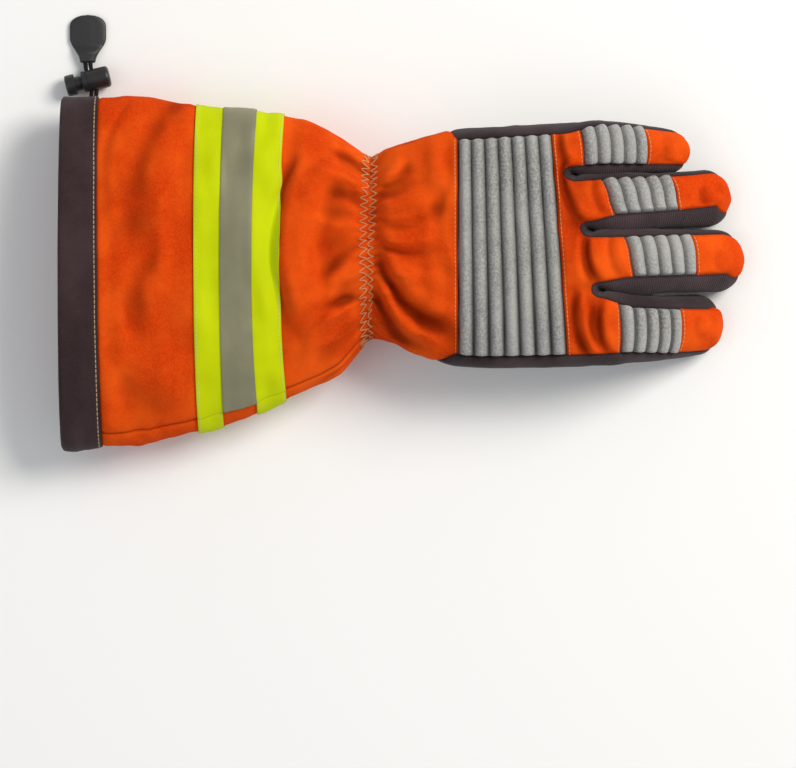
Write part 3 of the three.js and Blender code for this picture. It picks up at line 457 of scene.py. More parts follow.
laneEdges = np.array([0.92, 0.578, 0.113, -0.385, -0.92])
crotches = np.array([0.226, 0.233, 0.257, 0.273, 0.276]) * gloveLength
webLean = 0.034 * gloveLength
slight = 0.003 * gloveLength
silverX = tapeX + palmTapeWidth
lineRows = table(
    ["name", "pinky", "index", "bow"],
    [
        ["mouth", mouthX, mouthX, 0],
        ["hem", hemX, hemX + 2 * slight, 0],
        ["tape", tapeX, tapeX + slight, slight],
        ["silver", silverX, silverX, slight],
        ["silverEnd", silverX + glove["silverWidth"], silverX + glove["silverWidth"], 2 * slight],
        ["tapeEnd", tapeX + glove["tapeWidth"], tapeX + glove["tapeWidth"] + slight, 2 * slight],
        ["gather", gatherX, gatherX - slight, slight],
        ["suede", 0.024 * gloveLength, -0.01 * gloveLength, 0],
        ["heel", 0.062 * gloveLength, 0.036 * gloveLength, 0],
        ["padStart", 0.078 * gloveLength, 0.079 * gloveLength, 0],
        ["padEnd", 0.213 * gloveLength, 0.238 * gloveLength, 0],
    ],
)
line = {row["name"]: float(k) for k, row in enumerate(lineRows)}
crotchLine = float(len(lineRows))
linePinky, lineIndex, lineBow = (np.array([row[key] for row in lineRows]) for key in ("pinky", "index", "bow"))


def lineX(k, lane, share, under):
    # x of line k: mean + half difference * share - bow (1 - share^2); past the last, the finger roots' own line
    known = np.minimum(k, len(lineRows) - 1)
    x = (linePinky[known] + lineIndex[known]) / 2 + (linePinky[known] - lineIndex[known]) / 2 * share
    x = x - lineBow[known] * (1 - share**2)
    roots = np.interp(lane, np.arange(5), crotches) + webLean * under
    return np.where(k >= len(lineRows), roots, x)


# Creases of the cloth: ridge (height > 0) or hollow from one place to another, seen from above.
creases = table(
    ["fromX", "fromY", "toX", "toY", "width", "height", "face"],
    [
        [-46, 62, -50, -34, 9.0, 4.4, 1], [-63, 62, -64, -36, 4.2, -3.6, 1],
        [-21, 54, -46, 67, 3.2, -2.4, 1], [-24, 36, -42, 43, 3.0, -1.3, 1], [-24, 28, -44, 30, 3.2, -1.1, 1],
        [-25, 14, -48, -14, 3.4, -2.3, 1], [-26, -15, -62, -38, 3.8, -3.6, 1], [-27, -24, -58, -50, 5.5, 2.4, 1],
        [-25, 2, -52, -24, 5.0, 1.8, 1], [-23, 46, -50, 54, 4.5, 2.0, 1],
        [-13, 47, 4, 62, 3.2, -2.5, 1], [-12, 36, 12, 46, 4.5, 1.9, 1], [-13, 27, 18, 32, 3.2, -1.3, 1],
        [-13, 14, 22, 13, 3.0, -2.3, 1], [-13, 20, 20, 22, 4.5, 1.8, 1],
        [-14, 5, 26, -38, 5.2, -4.4, 1], [-14, -4, 20, -42, 4.2, 2.9, 1], [-15, -12, 12, -46, 3.8, -3.6, 1],
        [14, 34, 24, 2, 7.0, 1.6, 1], [22, 44, 25, -6, 4.0, -1.5, 1],
        [-125, 102, -150, 6, 6.5, -2.6, 1], [-155, 97, -168, 36, 2.4, -1.1, 1], [-142, 8, -151, -46, 6.0, -1.7, 1],
        [-166, -20, -128, -62, 10.0, 1.4, 1], [-160, -58, -126, -78, 8.0, -1.5, 1], [-166, 30, -152, 44, 5.0, 0.9, 1],
        [-110, 40, -100, -30, 12.0, -1.0, 1],
        [90, 60, 99, 26, 2.6, -2.6, 2], [86, 58, 94, 30, 3.0, 1.6, 2], [97, -13, 106, -52, 2.8, -3.0, 2],
        [103, -20, 113, -52, 2.6, 1.6, 2], [89, 82, 92, 58, 2.2, -2.2, 2], [108.5, 56, 116, 29, 2.3, -2.2, 2],
        [118.5, 24, 124, -6, 2.3, -2.0, 2], [103, 19, 109, -8, 2.4, -2.3, 2], [98, 18, 102, -8, 3.0, 1.5, 2],
        [111, -18, 118, -54, 2.5, -1.9, 2], [171, 48, 175, 37, 2.8, -1.9, 2], [150, 71, 152, 60, 2.6, -1.2, 2],
        [180, 12, 183, -2, 3.0, -1.3, 2], [168, -26, 171, -40, 2.8, -1.4, 2],
        [-26, 10, -64, 22, 6.0, 1.8, -1], [-26, -14, -62, -34, 6.0, -2.0, -1], [-26, 36, -60, 58, 5.0, 1.7, -1],
    ],
)


# Patches of painted shade, seen from above; on the knuckle band and fingertips (face 2) the cloth also sinks there.
paintedShadeAndDips = table(
    ["x", "y", "reachX", "reachY", "depth", "face"],
    [
        [95, 40, 6.5, 11, 0.75, 2], [106, -34, 5.5, 14, 1.1, 2], [105, 9, 4.0, 10, 0.6, 2], [91, 71, 3.5, 6, 0.5, 2],
        [100, 27, 5.0, 5, 0.4, 2], [112, -14, 3.5, 6, 0.4, 2],
        [19, -24, 6.5, 8, 0.55, 1], [-2, -38, 6.0, 5, 0.4, 1], [17, 35, 5.0, 4, 0.35, 1], [-8, 42, 6.0, 3, 0.3, 1],
        [-62, 20, 4.0, 40, 0.3, 1], [-38, 52, 9.0, 4, 0.3, 1], [27, 20, 2.6, 30, 0.3, 1],
    ],
)


def dipShade(x, y, face):
    # how strong the painted shade is, and on face 2 how deep the cloth sinks: sum of depth * exp(-(dx / reachX)^2 - (dy
    # / reachY)^2)
    total = np.zeros(np.broadcast(x, y).shape)
    for row in paintedShadeAndDips:
        if row["face"] == face:
            dx, dy = (x - row["x"]) / row["reachX"], (y - row["y"]) / row["reachY"]
            total += row["depth"] * np.exp(-(dx**2) - dy**2)
    return total


def creaseHeight(x, y, face):
    # sum of height * (exp(-(d / w)^2) - 0.45 exp(-((d - 1.7 w) / w)^2)), faded at both ends of each crease, where
    # w = width (0.75 + 0.7 run) and d is the distance from an arc that rises by 0.12 of the crease's length
    total = np.zeros(np.broadcast(x, y).shape)
    for row in creases:
        if row["face"] != face:
            continue
        length = math.hypot(row["toX"] - row["fromX"], row["toY"] - row["fromY"])
        ux, uy = (row["toX"] - row["fromX"]) / length, (row["toY"] - row["fromY"]) / length
        run = ((x - row["fromX"]) * ux + (y - row["fromY"]) * uy) / length
        width = row["width"] * (0.75 + 0.7 * np.clip(run, 0, 1.3))
        aside = (y - row["fromY"]) * ux - (x - row["fromX"]) * uy + 0.12 * length * np.sin(np.pi * np.clip(run, 0, 1))
        fade = ease((run + 0.12) / 0.25) * ease((1.15 - run) / 0.45)
        shape = np.exp(-((aside / width) ** 2)) - 0.45 * np.exp(-(((aside - 1.7 * width) / width) ** 2))
        total += row["height"] * shape * fade
    return total


pleats = table(
    ["count", "start", "drift", "weight"],
    [[13, 0.4, 0.6, 0.42], [21, 1.9, -0.5, 0.34], [9, 2.6, 0.35, 0.3], [31, 0.9, 0.8, 0.16]],
)
elastic = {"reach": 14.0, "pleatHeight": 2.1, "puckers": 52, "puckerHeight": 0.55, "puckerReach": 6.0}


def puckerAngle(turn):
    # the small puckers' angle round the wrist: n a + 1.2 sin(3 a)
    angle = 2 * np.pi * turn / 10
    return elastic["puckers"] * angle + 1.2 * np.sin(3 * angle)


def gatherFold(x, turn):
    # pleats either side of the elastic, weight * (1.35 - 2.1 |sin(phase)|) of a few counts round the wrist, faded as
    # d e^(1 - d), and small puckers on it
    away = (x - gatherX) / elastic["reach"]
    side = np.abs(away)
    fade = side * np.exp(1 - side) * ease((3.4 - side) / 2.0)
    angle = 2 * np.pi * turn / 10
    total = 0.0
    for row in pleats:
        phase = (row["count"] * angle + row["start"] + row["drift"] * away) / 2
        total = total + row["weight"] * (1.35 - 2.1 * np.abs(np.sin(phase)))
    nearElastic = np.exp(-((x - gatherX) / elastic["puckerReach"]) ** 2)
    pucker = elastic["puckerHeight"] * nearElastic * np.cos(puckerAngle(turn))
    return elastic["pleatHeight"] * fade * total + pucker


def trunkY(x, share):
    # middle of the section's two sides + half their distance * share
    pinky, index = along("pinky", x), along("index", x)
    return (pinky + index) / 2 + (pinky - index) / 2 * share


crotchY = trunkY(crotches, laneEdges)


def valley(x, y):
    # dips of depth valleyDepth on the lines from between the fingers, exp(-(across / w)^2), faded in by x
    depth = 0.0
    for k in (1, 2, 3):
        across = (y - crotchY[k]) / (0.16 * fingerWidth)
        reach = ease((x - crotches[k] + 0.05 * gloveLength) / (0.05 * gloveLength))
        depth = depth + glove["valleyDepth"] * reach * np.exp(-across * across)
    return depth


def trunk(s, turn):
    # superellipse sections |Y|^n + |Z|^n = 1 whose sides, height and n follow x; x follows the sewn lines
    s, turn = np.broadcast_arrays(np.asarray(s, float), np.asarray(turn, float))
    t = np.mod(turn, 10.0)
    overBack, downIndex, underPalm = t <= 4, (t > 4) & (t <= 5), (t > 5) & (t <= 9)
    lane = np.where(overBack, t, np.where(downIndex, 4.0, np.where(underPalm, 9 - t, 0.0)))
    under = np.where(overBack, 0.0, np.where(downIndex, t - 4, np.where(underPalm, 1.0, 10 - t)))
    share = np.interp(lane, np.arange(5), laneEdges)
    k = np.clip(np.floor(s), 0, crotchLine - 1).astype(int)
    x = mix(lineX(k, lane, share, under), lineX(k + 1, lane, share, under), s - k)
    power, top, bottom = along("round", x), along("top", x), along("under", x)
    height = (1 - np.abs(share) ** power) ** (1 / power) * np.where(overBack, 1, -1)
    onSide = ~(overBack | underPalm)
    edge = np.arccos(np.abs(share) ** (power / 2))
    theta = mix(edge, -edge, under)
    share = np.where(onSide, np.sign(share) * np.cos(theta) ** (2 / power), share)
    height = np.where(onSide, np.sign(theta) * np.abs(np.sin(theta)) ** (2 / power), height)
    pinky, index = along("pinky", x), along("index", x)
    fold = gatherFold(x, t) / ((top - bottom) / 2)
    y = (pinky + index) / 2 + (pinky - index) / 2 * share * (1 + 0.4 * fold)
    z = (top + bottom) / 2 + (top - bottom) / 2 * height * (1 + fold)
    z = z - np.sign(height) * valley(x, y) * np.minimum(1, np.abs(height) * 1.5)
    flat = np.minimum(1, np.abs(height) * 1.6)
    z = z + np.where(height > 0, creaseHeight(x, y, 1), -creaseHeight(x, y, -1)) * flat
    return rowOf(x, y, np.maximum(z, np.where(x < gatherX, tapeRise, 0.0)))


def taperedTrunk(s, turn):
    # the trunk with its side seams slid down by d(s): 0.72 before the heel line, easing to 0 at the pad's start
    s, turn = np.broadcast_arrays(np.asarray(s, float), np.asarray(turn, float))
    d = 0.72 * (1 - ease((s - line["heel"]) / (line["padStart"] - line["heel"]))) * ease((s - line["gather"]) / 0.9)
    t = np.mod(turn, 10.0)
    moved = np.select(
        [(t >= 9), (t <= 1), (t > 3) & (t <= 4), (t > 4) & (t <= 5)],
        [9 + (t - 9) * (1 - d), -d + t * (1 + d), 3 + (t - 3) * (1 + d), 4 + d + (t - 4) * (1 - d)],
        t,
    )
    return trunk(s, moved)


fingerRows = table(
    ["name", "tip", "drop", "rootMiddle", "endMiddle", "rootHalf", "endHalf",
     "pinkyRoot", "pinkyEnd", "indexRoot", "indexEnd", "padStart", "padEnd"],
    [
        ["pinky", 0.4172, 0.068, 0.518, 0.508, 0.45, 0.37, 0.8, 0.94, 0.72, 0.68, 0.16, 0.71],
        ["ring", 0.4813, 0.091, 0.29, 0.312, 0.45, 0.485, 0.83, 0.93, 0.62, 0.28, 0.23, 0.7],
        ["middle", 0.5, 0.091, 0.044, 0.05, 0.53, 0.53, 0.75, 0.9, 0.6, 0.45, 0.28, 0.755],
        ["index", 0.4697, 0.089, -0.243, -0.22, 0.56, 0.51, 0.76, 0.55, 0.68, 0.92, 0.2, 0.73],
    ],
)
tube = {"round": 2.3, "frontTop": 0.16, "frontUnder": -0.6, "underShare": 0.62}
slotHalf = 0.1 * fingerWidth
rootEase = 0.6 * fingerWidth
fingerRootZ = palmLift * 1.03 + glove["palmThickness"] * 0.47


def shareAngle(share, power):
    # the superellipse's angle at which its side is this share of its half width: arccos(share^(power / 2))
    return np.arccos(np.asarray(share, float) ** (power / 2))


def sectionAngle(r, pinkyTop, indexTop, pinkyUnder, indexUnder):
    # angle round a section: back, index side, front, little finger's side, piecewise straight in r
    half = np.pi / 2
    return np.select(
        [r <= 0.5, r <= 1, r <= 2, r <= 2.5, r <= 3],
        [
            mix(pinkyTop, half, r / 0.5),
            mix(half, np.pi - indexTop, (r - 0.5) / 0.5),
            mix(np.pi - indexTop, np.pi - indexUnder, r - 1),
            mix(np.pi - indexUnder, 3 * half, (r - 2) / 0.5),
            mix(3 * half, 2 * np.pi + pinkyUnder, (r - 2.5) / 0.5),
        ],
        mix(2 * np.pi + pinkyUnder, 2 * np.pi + pinkyTop, r - 3),
    )


def sweptTube(shape, t, r):
    # a superellipse section carried along a falling centre line, then turned a quarter round at the tip
    straight, beyond = np.clip(t, 0, 1), np.clip(t - 1, 0, 1)
    swing, front = beyond * np.pi / 2, ease(beyond)
    sideUnder = mix(shape["sideUnder"], shape["frontUnder"], front)
    tops = (mix(shape[key](straight), shape["frontTop"], front) for key in ("pinkyTop", "indexTop"))
    angle = sectionAngle(r, *tops, sideUnder, sideUnder)
    power = 2 / shape["round"]
    side, rise = signedPower(np.cos(angle), power), signedPower(np.sin(angle), power)
    tilt, half, thick = shape["tilt"](straight), shape["half"](straight), shape["thick"](straight)
    cx, cy, cz = shape["centre"](straight)
    ahead = half * np.abs(side) * np.sin(swing) * shape["reach"]
    return rowOf(
        cx + ahead * np.cos(tilt) + thick * rise * np.sin(tilt),
        cy + half * side * np.cos(swing),
        cz - ahead * np.sin(tilt) + thick * rise * np.cos(tilt),
    )


def fingerShape(row, i):
    # straight part from the mean of its two crotches to a tip whose reach is that of the tilted end section
    thick = glove["fingerThickness"] / 2
    rootX = (crotches[i] + crotches[i + 1]) / 2
    drop = row["drop"] * gloveLength
    endTilt = math.atan(0.55)
    reach = math.hypot(row["endHalf"] * fingerWidth * math.cos(endTilt), thick * math.sin(endTilt))
    endX = row["tip"] * gloveLength - reach
    return {
        "round": tube["round"], "reach": 1.0, "frontTop": tube["frontTop"], "frontUnder": tube["frontUnder"],
        "pinkyTop": lambda t: shareAngle(mix(row["pinkyRoot"], row["pinkyEnd"], t), tube["round"]),
        "indexTop": lambda t: shareAngle(mix(row["indexRoot"], row["indexEnd"], t), tube["round"]),
        "sideUnder": -float(shareAngle(tube["underShare"], tube["round"])),
        "tilt": lambda t: np.arctan(drop * t * (3 - 1.5 * t) / (endX - rootX)),
        "centre": lambda t: (mix(rootX, endX, t), mix(row["rootMiddle"], row["endMiddle"], t * t) * glove["palmWidth"],
                             fingerRootZ - drop * t * t * (1.5 - 0.5 * t)),
        "half": lambda t: mix(row["rootHalf"], row["endHalf"], t * t) * fingerWidth,
        "thick": lambda t: thick * mix(1, 0.96, t),
        "rootX": rootX, "length": endX - rootX,
        "slant": (crotches[i + 1] - crotches[i]) / (crotchY[i + 1] - crotchY[i]),
    }


fingerShapes = [fingerShape(row, i) for i, row in enumerate(fingerRows)]


def fingerRoot(i, r):
    # where finger i starts: on the trunk's end, or on the upright wall between two fingers
    back = trunk(crotchLine, i + np.clip(r, 0, 1))
    front = trunk(crotchLine, 8 - i + np.clip(r - 2, 0, 1))
    down, up = np.clip(r - 1, 0, 1), np.clip(r - 3, 0, 1)
    if i == 3:
        indexSide = trunk(crotchLine, 4 + down)
    else:
        indexSide = mix(trunk(crotchLine, i + 1.0), trunk(crotchLine, 8.0 - i), down[..., None])
    if i == 0:
        pinkySide = trunk(crotchLine, 9 + up)
    else:
        pinkySide = mix(trunk(crotchLine, 9.0 - i), trunk(crotchLine, float(i)), up[..., None])
    r = r[..., None]
    return np.where(r <= 1, back, np.where(r <= 2, indexSide, np.where(r <= 3, front, pinkySide)))


def finger(i, t, turn):
    # the swept tube, eased out of the trunk's end over rootEase, with a rounded slot opening beside it
    t, turn = np.broadcast_arrays(np.asarray(t, float), np.asarray(turn, float))
    r = np.mod(turn, 4.0)
    shape = fingerShapes[i]
    swept, start = sweptTube(shape, t, r), fingerRoot(i, r)
    held = np.clip(t, 0, 1)
    away = held * shape["length"]
    slow = ease(away / rootEase)
    indexHalf = (r > 0.5) & (r < 2.5)
    atSlot = np.where(indexHalf, i < 3, i > 0)
    inPanel = np.where(r <= 1, np.abs(2 * r - 1), np.where((r >= 2) & (r <= 3), np.abs(2 * r - 5), 1.0))
    opening = slotHalf * np.sqrt(1 - (1 - np.minimum(1, away / slotHalf)) ** 2)
    below = np.select([r <= 1, r <= 2, r <= 3], [0 * r, r - 1, 1 + 0 * r], 4 - r)
    parting = np.where(indexHalf, 1, -1) * opening * inPanel**3 * (1 - slow) * (1 - 0.8 * ease(1.6 * below))
    parting = np.where(atSlot, parting, 0.0)
    return rowOf(
        swept[..., 0] + (start[..., 0] - shape["rootX"]) * (1 - held) + parting * shape["slant"],
        mix(start[..., 1], swept[..., 1], slow) + parting,
        np.maximum(0, mix(start[..., 2], swept[..., 2], slow)),
    )


thumbSpec = {
    "rootShare": 0.32, "padEnd": 0.72, "startX": 0.1 * gloveLength, "tipX": 0.311 * gloveLength, "windowTurn": 6.5,
    "round": 2.3, "topShare": 0.75, "underShare": 0.84, "rootHalf": 0.535, "endHalf": 0.455, "reach": 0.95, "sunk": 0.7,
}


def thumbCentre(t):
    # forward along x past the root's share, drifting towards the little finger's side as share^1.3
    end = thumbSpec["tipX"] - glove["thumbWidth"] * thumbSpec["endHalf"] * thumbSpec["reach"]
    share = np.clip((t - thumbSpec["rootShare"]) / (1 - thumbSpec["rootShare"]), 0, 1)
    return (mix(thumbSpec["startX"], end, share), glove["palmWidth"] * mix(-0.12, -0.045, share**1.3),
            glove["thumbThickness"] / 2 - thumbSpec["sunk"] + 0.0 * t)


thumbShape = {
    "round": thumbSpec["round"], "reach": thumbSpec["reach"], "frontTop": 0.5, "frontUnder": -0.62,
    "pinkyTop": lambda t: float(shareAngle(thumbSpec["topShare"], thumbSpec["round"])),
    "indexTop": lambda t: float(shareAngle(thumbSpec["topShare"], thumbSpec["round"])),
    "sideUnder": -float(shareAngle(thumbSpec["underShare"], thumbSpec["round"])),
    "tilt": lambda t: 0.0 * t,
    "half": lambda t: glove["thumbWidth"] * mix(thumbSpec["rootHalf"], thumbSpec["endHalf"], t),
    "thick": lambda t: glove["thumbThickness"] / 2 + 0.0 * t,
    "centre": thumbCentre,
}


def windowRim(r):
    # the four sides of the window in the palm that the thumb grows from
    start, end, turn = line["suede"], line["padStart"], thumbSpec["windowTurn"]
    sides = [r <= 1, r <= 2, r <= 3]
    s = np.select(sides, [end + 0 * r, mix(end, start, r - 1), start + 0 * r], mix(start, end, r - 3))
    w = np.select(sides, [mix(turn, 5, r), 5 + 0 * r, mix(5, turn, r - 2)], turn + 0 * r)
    return trunk(s, w)


def thumb(t, turn):
    # quadratic bend (1-s)^2 rim + 2 s (1-s) knee + s^2 tube up to the root's share, then the tube itself
    t, turn = np.broadcast_arrays(np.asarray(t, float), np.asarray(turn, float))
    r = np.mod(turn, 4.0)
    swept, start = sweptTube(thumbShape, t, r), windowRim(r)
    share = np.clip(t / thumbSpec["rootShare"], 0, 1)[..., None]
    knee = start + (swept - start) * np.array([0.35, 0.6, 0.85])
    bent = start * (1 - share) ** 2 + knee * 2 * share * (1 - share) + swept * share**2
    point = np.where(t[..., None] < thumbSpec["rootShare"], bent, swept)
    point[..., 2] = np.maximum(0, point[..., 2])
    return point


def fingerSkin(i):
    # finger i as a skin of its own
    return lambda t, r: finger(i, t, r)


def outward(skin, u, v):
    # unit normal from central differences; at a pole the mean a little way to either side
    du, dv = 0.012, 0.02

    def crossed(v):
        byU = skin(u + du, v) - skin(u - du, v)
        byV = skin(u, v + dv) - skin(u, v - dv)
        return np.cross(byV, byU)

    normal = crossed(v)
    length = np.linalg.norm(normal, axis=-1, keepdims=True)
    pole = length[..., 0] < 1e-4
    if pole.any():
        beside = crossed(v + 0.1) + crossed(v - 0.1)
        normal = np.where(pole[..., None], beside, normal)
        length = np.linalg.norm(normal, axis=-1, keepdims=True)
    return normal / np.maximum(length, 1e-12)


def latticeNoise(points, cell, seed):
    # smooth noise from -1 to 1: random values on a cubic lattice, blended by ease() along each axis
    size = 24
    lattice = np.random.default_rng(seed).uniform(-1, 1, (size, size, size))
    at = points / cell + 1000.0
    low = np.floor(at).astype(int)
    share = ease(at - low)
    total = 0.0
    for step in np.ndindex(2, 2, 2):
        weights = np.where(step, share, 1 - share)
        node = (low + step) % size
        weight = weights[..., 0] * weights[..., 1] * weights[..., 2]
        total = total + weight * lattice[node[..., 0], node[..., 1], node[..., 2]]
    return total


print("stage: skins ready")


def spread(start, end, count):
    # count even steps from start to end
    return np.linspace(start, end, count + 1)


def chain(stops, counts):
    # several even runs joined end to end
    return np.concatenate([spread(stops[k], stops[k + 1], count)[min(k, 1):] for k, count in enumerate(counts)])


def grid(skin, us, vs, sewnU=(), sewnV=()):
    # a window of a skin; sewnU and sewnV are the edges u = value or v = value that carry a row of stitches
    return {"skin": skin, "us": np.asarray(us, float), "vs": np.asarray(vs, float), "sewnU": sewnU, "sewnV": sewnV}


def nearest(points, samples, *carried):
    # distance from each point to the nearest sample, and that sample's carried values, in blocks
    gaps = np.empty(len(points))
    picks = np.empty(len(points), int)
    norm = (samples**2).sum(axis=1)
    size = 4000
    for part in (slice(first, first + size) for first in range(0, len(points), size)):
        picks[part] = (norm[None, :] - 2 * points[part] @ samples.T).argmin(axis=1)
        gaps[part] = np.linalg.norm(points[part] - samples[picks[part]], axis=1)
    return (gaps,) + tuple(values[picks] for values in carried)


weldsPerMillimetre = 50


def gather(grids):
    # evaluates the grids, welds common points and returns points, normals, faces, corner cloth coordinates and rim
    points, normals, cloth, params, corners = [], [], [], [], []
    offset = 0
    for number, item in enumerate(grids):
        u, v = np.meshgrid(item["us"], item["vs"], indexing="ij")
        p, n = item["skin"](u, v), outward(item["skin"], u, v)
        runU = np.zeros(u.shape)
        runV = np.zeros(u.shape)
        runU[1:] = np.cumsum(np.linalg.norm(p[1:] - p[:-1], axis=-1), axis=0)
        runV[:, 1:] = np.cumsum(np.linalg.norm(p[:, 1:] - p[:, :-1], axis=-1), axis=1)
        middle = runV[:, runV.shape[1] // 2][:, None]
        ids = np.arange(u.size).reshape(u.shape) + offset
        corners.append(np.stack([ids[:-1, :-1], ids[:-1, 1:], ids[1:, 1:], ids[1:, :-1]], axis=-1).reshape(-1, 4))
        points.append(p.reshape(-1, 3))
        normals.append(n.reshape(-1, 3))
        cloth.append(np.stack([runU, runV - middle], axis=-1).reshape(-1, 2))
        params.append(np.stack([u, v, np.full(u.shape, number)], axis=-1).reshape(-1, 3))
        offset += u.size
    points, normals, cloth, params, corners = map(np.concatenate, (points, normals, cloth, params, corners))
    keys = np.round(points * weldsPerMillimetre).astype(np.int64)
    _, first, weld = np.unique(keys, axis=0, return_index=True, return_inverse=True)
    weld = weld.ravel()
    summed = np.zeros((len(first), 3))
    np.add.at(summed, weld, normals)
    summed /= np.maximum(np.linalg.norm(summed, axis=1, keepdims=True), 1e-9)
    welded = weld[corners]
    same = welded == np.roll(welded, -1, axis=1)
    whole = ~same.any(axis=1)
    quads, quadCloth = welded[whole], corners[whole]
    tris, triCloth = [], []
    for k in range(4):
        rows = same[:, k] & (same.sum(axis=1) == 1)
        keep = [j for j in range(4) if j != k]
        tris.append(welded[rows][:, keep])
        triCloth.append(corners[rows][:, keep])
    tris, triCloth = np.concatenate(tris), np.concatenate(triCloth)
    edges = np.concatenate([np.stack([quads[:, k], quads[:, (k + 1) % 4]], axis=1) for k in range(4)]
                           + [np.stack([tris[:, k], tris[:, (k + 1) % 3]], axis=1) for k in range(3)])
    code = edges.min(axis=1) * len(first) + edges.max(axis=1)
    _, back, counts = np.unique(code, return_inverse=True, return_counts=True)
    rim = edges[counts[back.ravel()] == 1]
    return {"points": points[first], "normals": summed, "cloth": cloth, "params": params[first], "quads": quads,
            "quadCloth": quadCloth, "tris": tris, "triCloth": triCloth, "rim": rim, "grids": grids, "firstOf": first}


perEdge = 5
farAway = 99.0


def edgeSamples(shape, rim):
    # points along the rim's edges, so many to an edge
    shares = (np.arange(perEdge) / perEdge)[:, None, None]
    return mix(shape["points"][rim[:, 0]], shape["points"][rim[:, 1]], shares).reshape(-1, 3)


def stitchFields(shape):
    # distance to the sewn edges, and the cloth coordinate that runs along the nearest one; far away where none is sewn
    rim, params = shape["rim"], shape["params"]
    chosen, alongV = [], []
    for number, item in enumerate(shape["grids"]):
        for axis, values in ((0, item["sewnU"]), (1, item["sewnV"])):
            for value in values:
                on = (np.abs(params[:, axis] - value) < 1e-6) & (params[:, 2] == number)
                rows = on[rim].all(axis=1)
                chosen.append(rim[rows])
                alongV.append(np.full(rows.sum() * perEdge, float(axis == 0)))
    if not chosen:
        return np.full(len(params), farAway), np.zeros(len(params))
    samples = np.concatenate([edgeSamples(shape, rows) for rows in chosen])
    gap, useV = nearest(shape["points"], samples, np.concatenate(alongV))
    run = shape["cloth"][shape["firstOf"]]
    return gap, np.where(useV > 0.5, run[:, 1], run[:, 0])


def buildMesh(name, points, corners, sizes, material, cloth=None, values=None, sharp=None):
    # a mesh object from whole arrays; points in millimetres
    mesh = bpy.data.meshes.new(name)
    mesh.vertices.add(len(points))
    mesh.vertices.foreach_set("co", (points * 0.001).astype(np.float32).ravel())
    mesh.loops.add(len(corners))
    mesh.loops.foreach_set("vertex_index", corners.astype(np.int32))
    mesh.polygons.add(len(sizes))
    starts = np.concatenate([[0], np.cumsum(sizes)[:-1]])
    mesh.polygons.foreach_set("loop_start", starts.astype(np.int32))
    mesh.update(calc_edges=True)
    mesh.polygons.foreach_set("use_smooth", np.ones(len(sizes), bool))
    if cloth is not None:
        mesh.uv_layers.new(name="cloth").data.foreach_set("uv", cloth.astype(np.float32).ravel())
    for label, field in (values or {}).items():
        mesh.attributes.new(label, "FLOAT", "POINT").data.foreach_set("value", field.astype(np.float32))
    if sharp is not None:
        pairs = np.empty(len(mesh.edges) * 2, np.int32)
        mesh.edges.foreach_get("vertices", pairs)
        pairs = np.sort(pairs.reshape(-1, 2), axis=1)
        wanted = np.sort(sharp, axis=1)
        hard = np.isin(pairs[:, 0] * len(points) + pairs[:, 1], wanted[:, 0] * len(points) + wanted[:, 1])
        mesh.attributes.new("sharp_edge", "BOOLEAN", "EDGE").data.foreach_set("value", hard)
    mesh.materials.append(material)
    return placed(name, mesh)


# Each finish: its material, the entry of glove that is its wall, its slot and, where it is padded, its fill.
finishes = {
    "orange": {"material": orangeCloth, "wall": "clothWall", "slot": "orange_cloth"},
    "twill": {"material": twillCloth, "wall": "clothWall", "slot": "dark_twill"},
    "suede": {"material": suedeSkin, "wall": "suedeWall", "slot": "grey_suede"},
    "ribbed": {"material": suedeSkin, "wall": "padWall", "slot": "grey_suede", "fill": 0.8},
    "hem": {"material": hemCloth, "wall": "hemWall", "slot": "hem_cloth"},
    "yellow": {"material": yellowTape, "wall": "tapeWall", "slot": "yellow_tape"},
    "silver": {"material": silverTape, "wall": "silverWall", "slot": "silver_tape"},
}


def unevenness(points, seed):
    # fine unevenness of a cloth: two noises
    return latticeNoise(points, 9.0, seed) + 0.6 * latticeNoise(points, 3.7, seed + 1)


def standing(points, normals):
    # 1, falling to 0 where a wall faces down and comes to the floor
    return np.where(normals[:, 2] < -0.3, ease((points[:, 2] - tapeRise) / 5), 1.0)


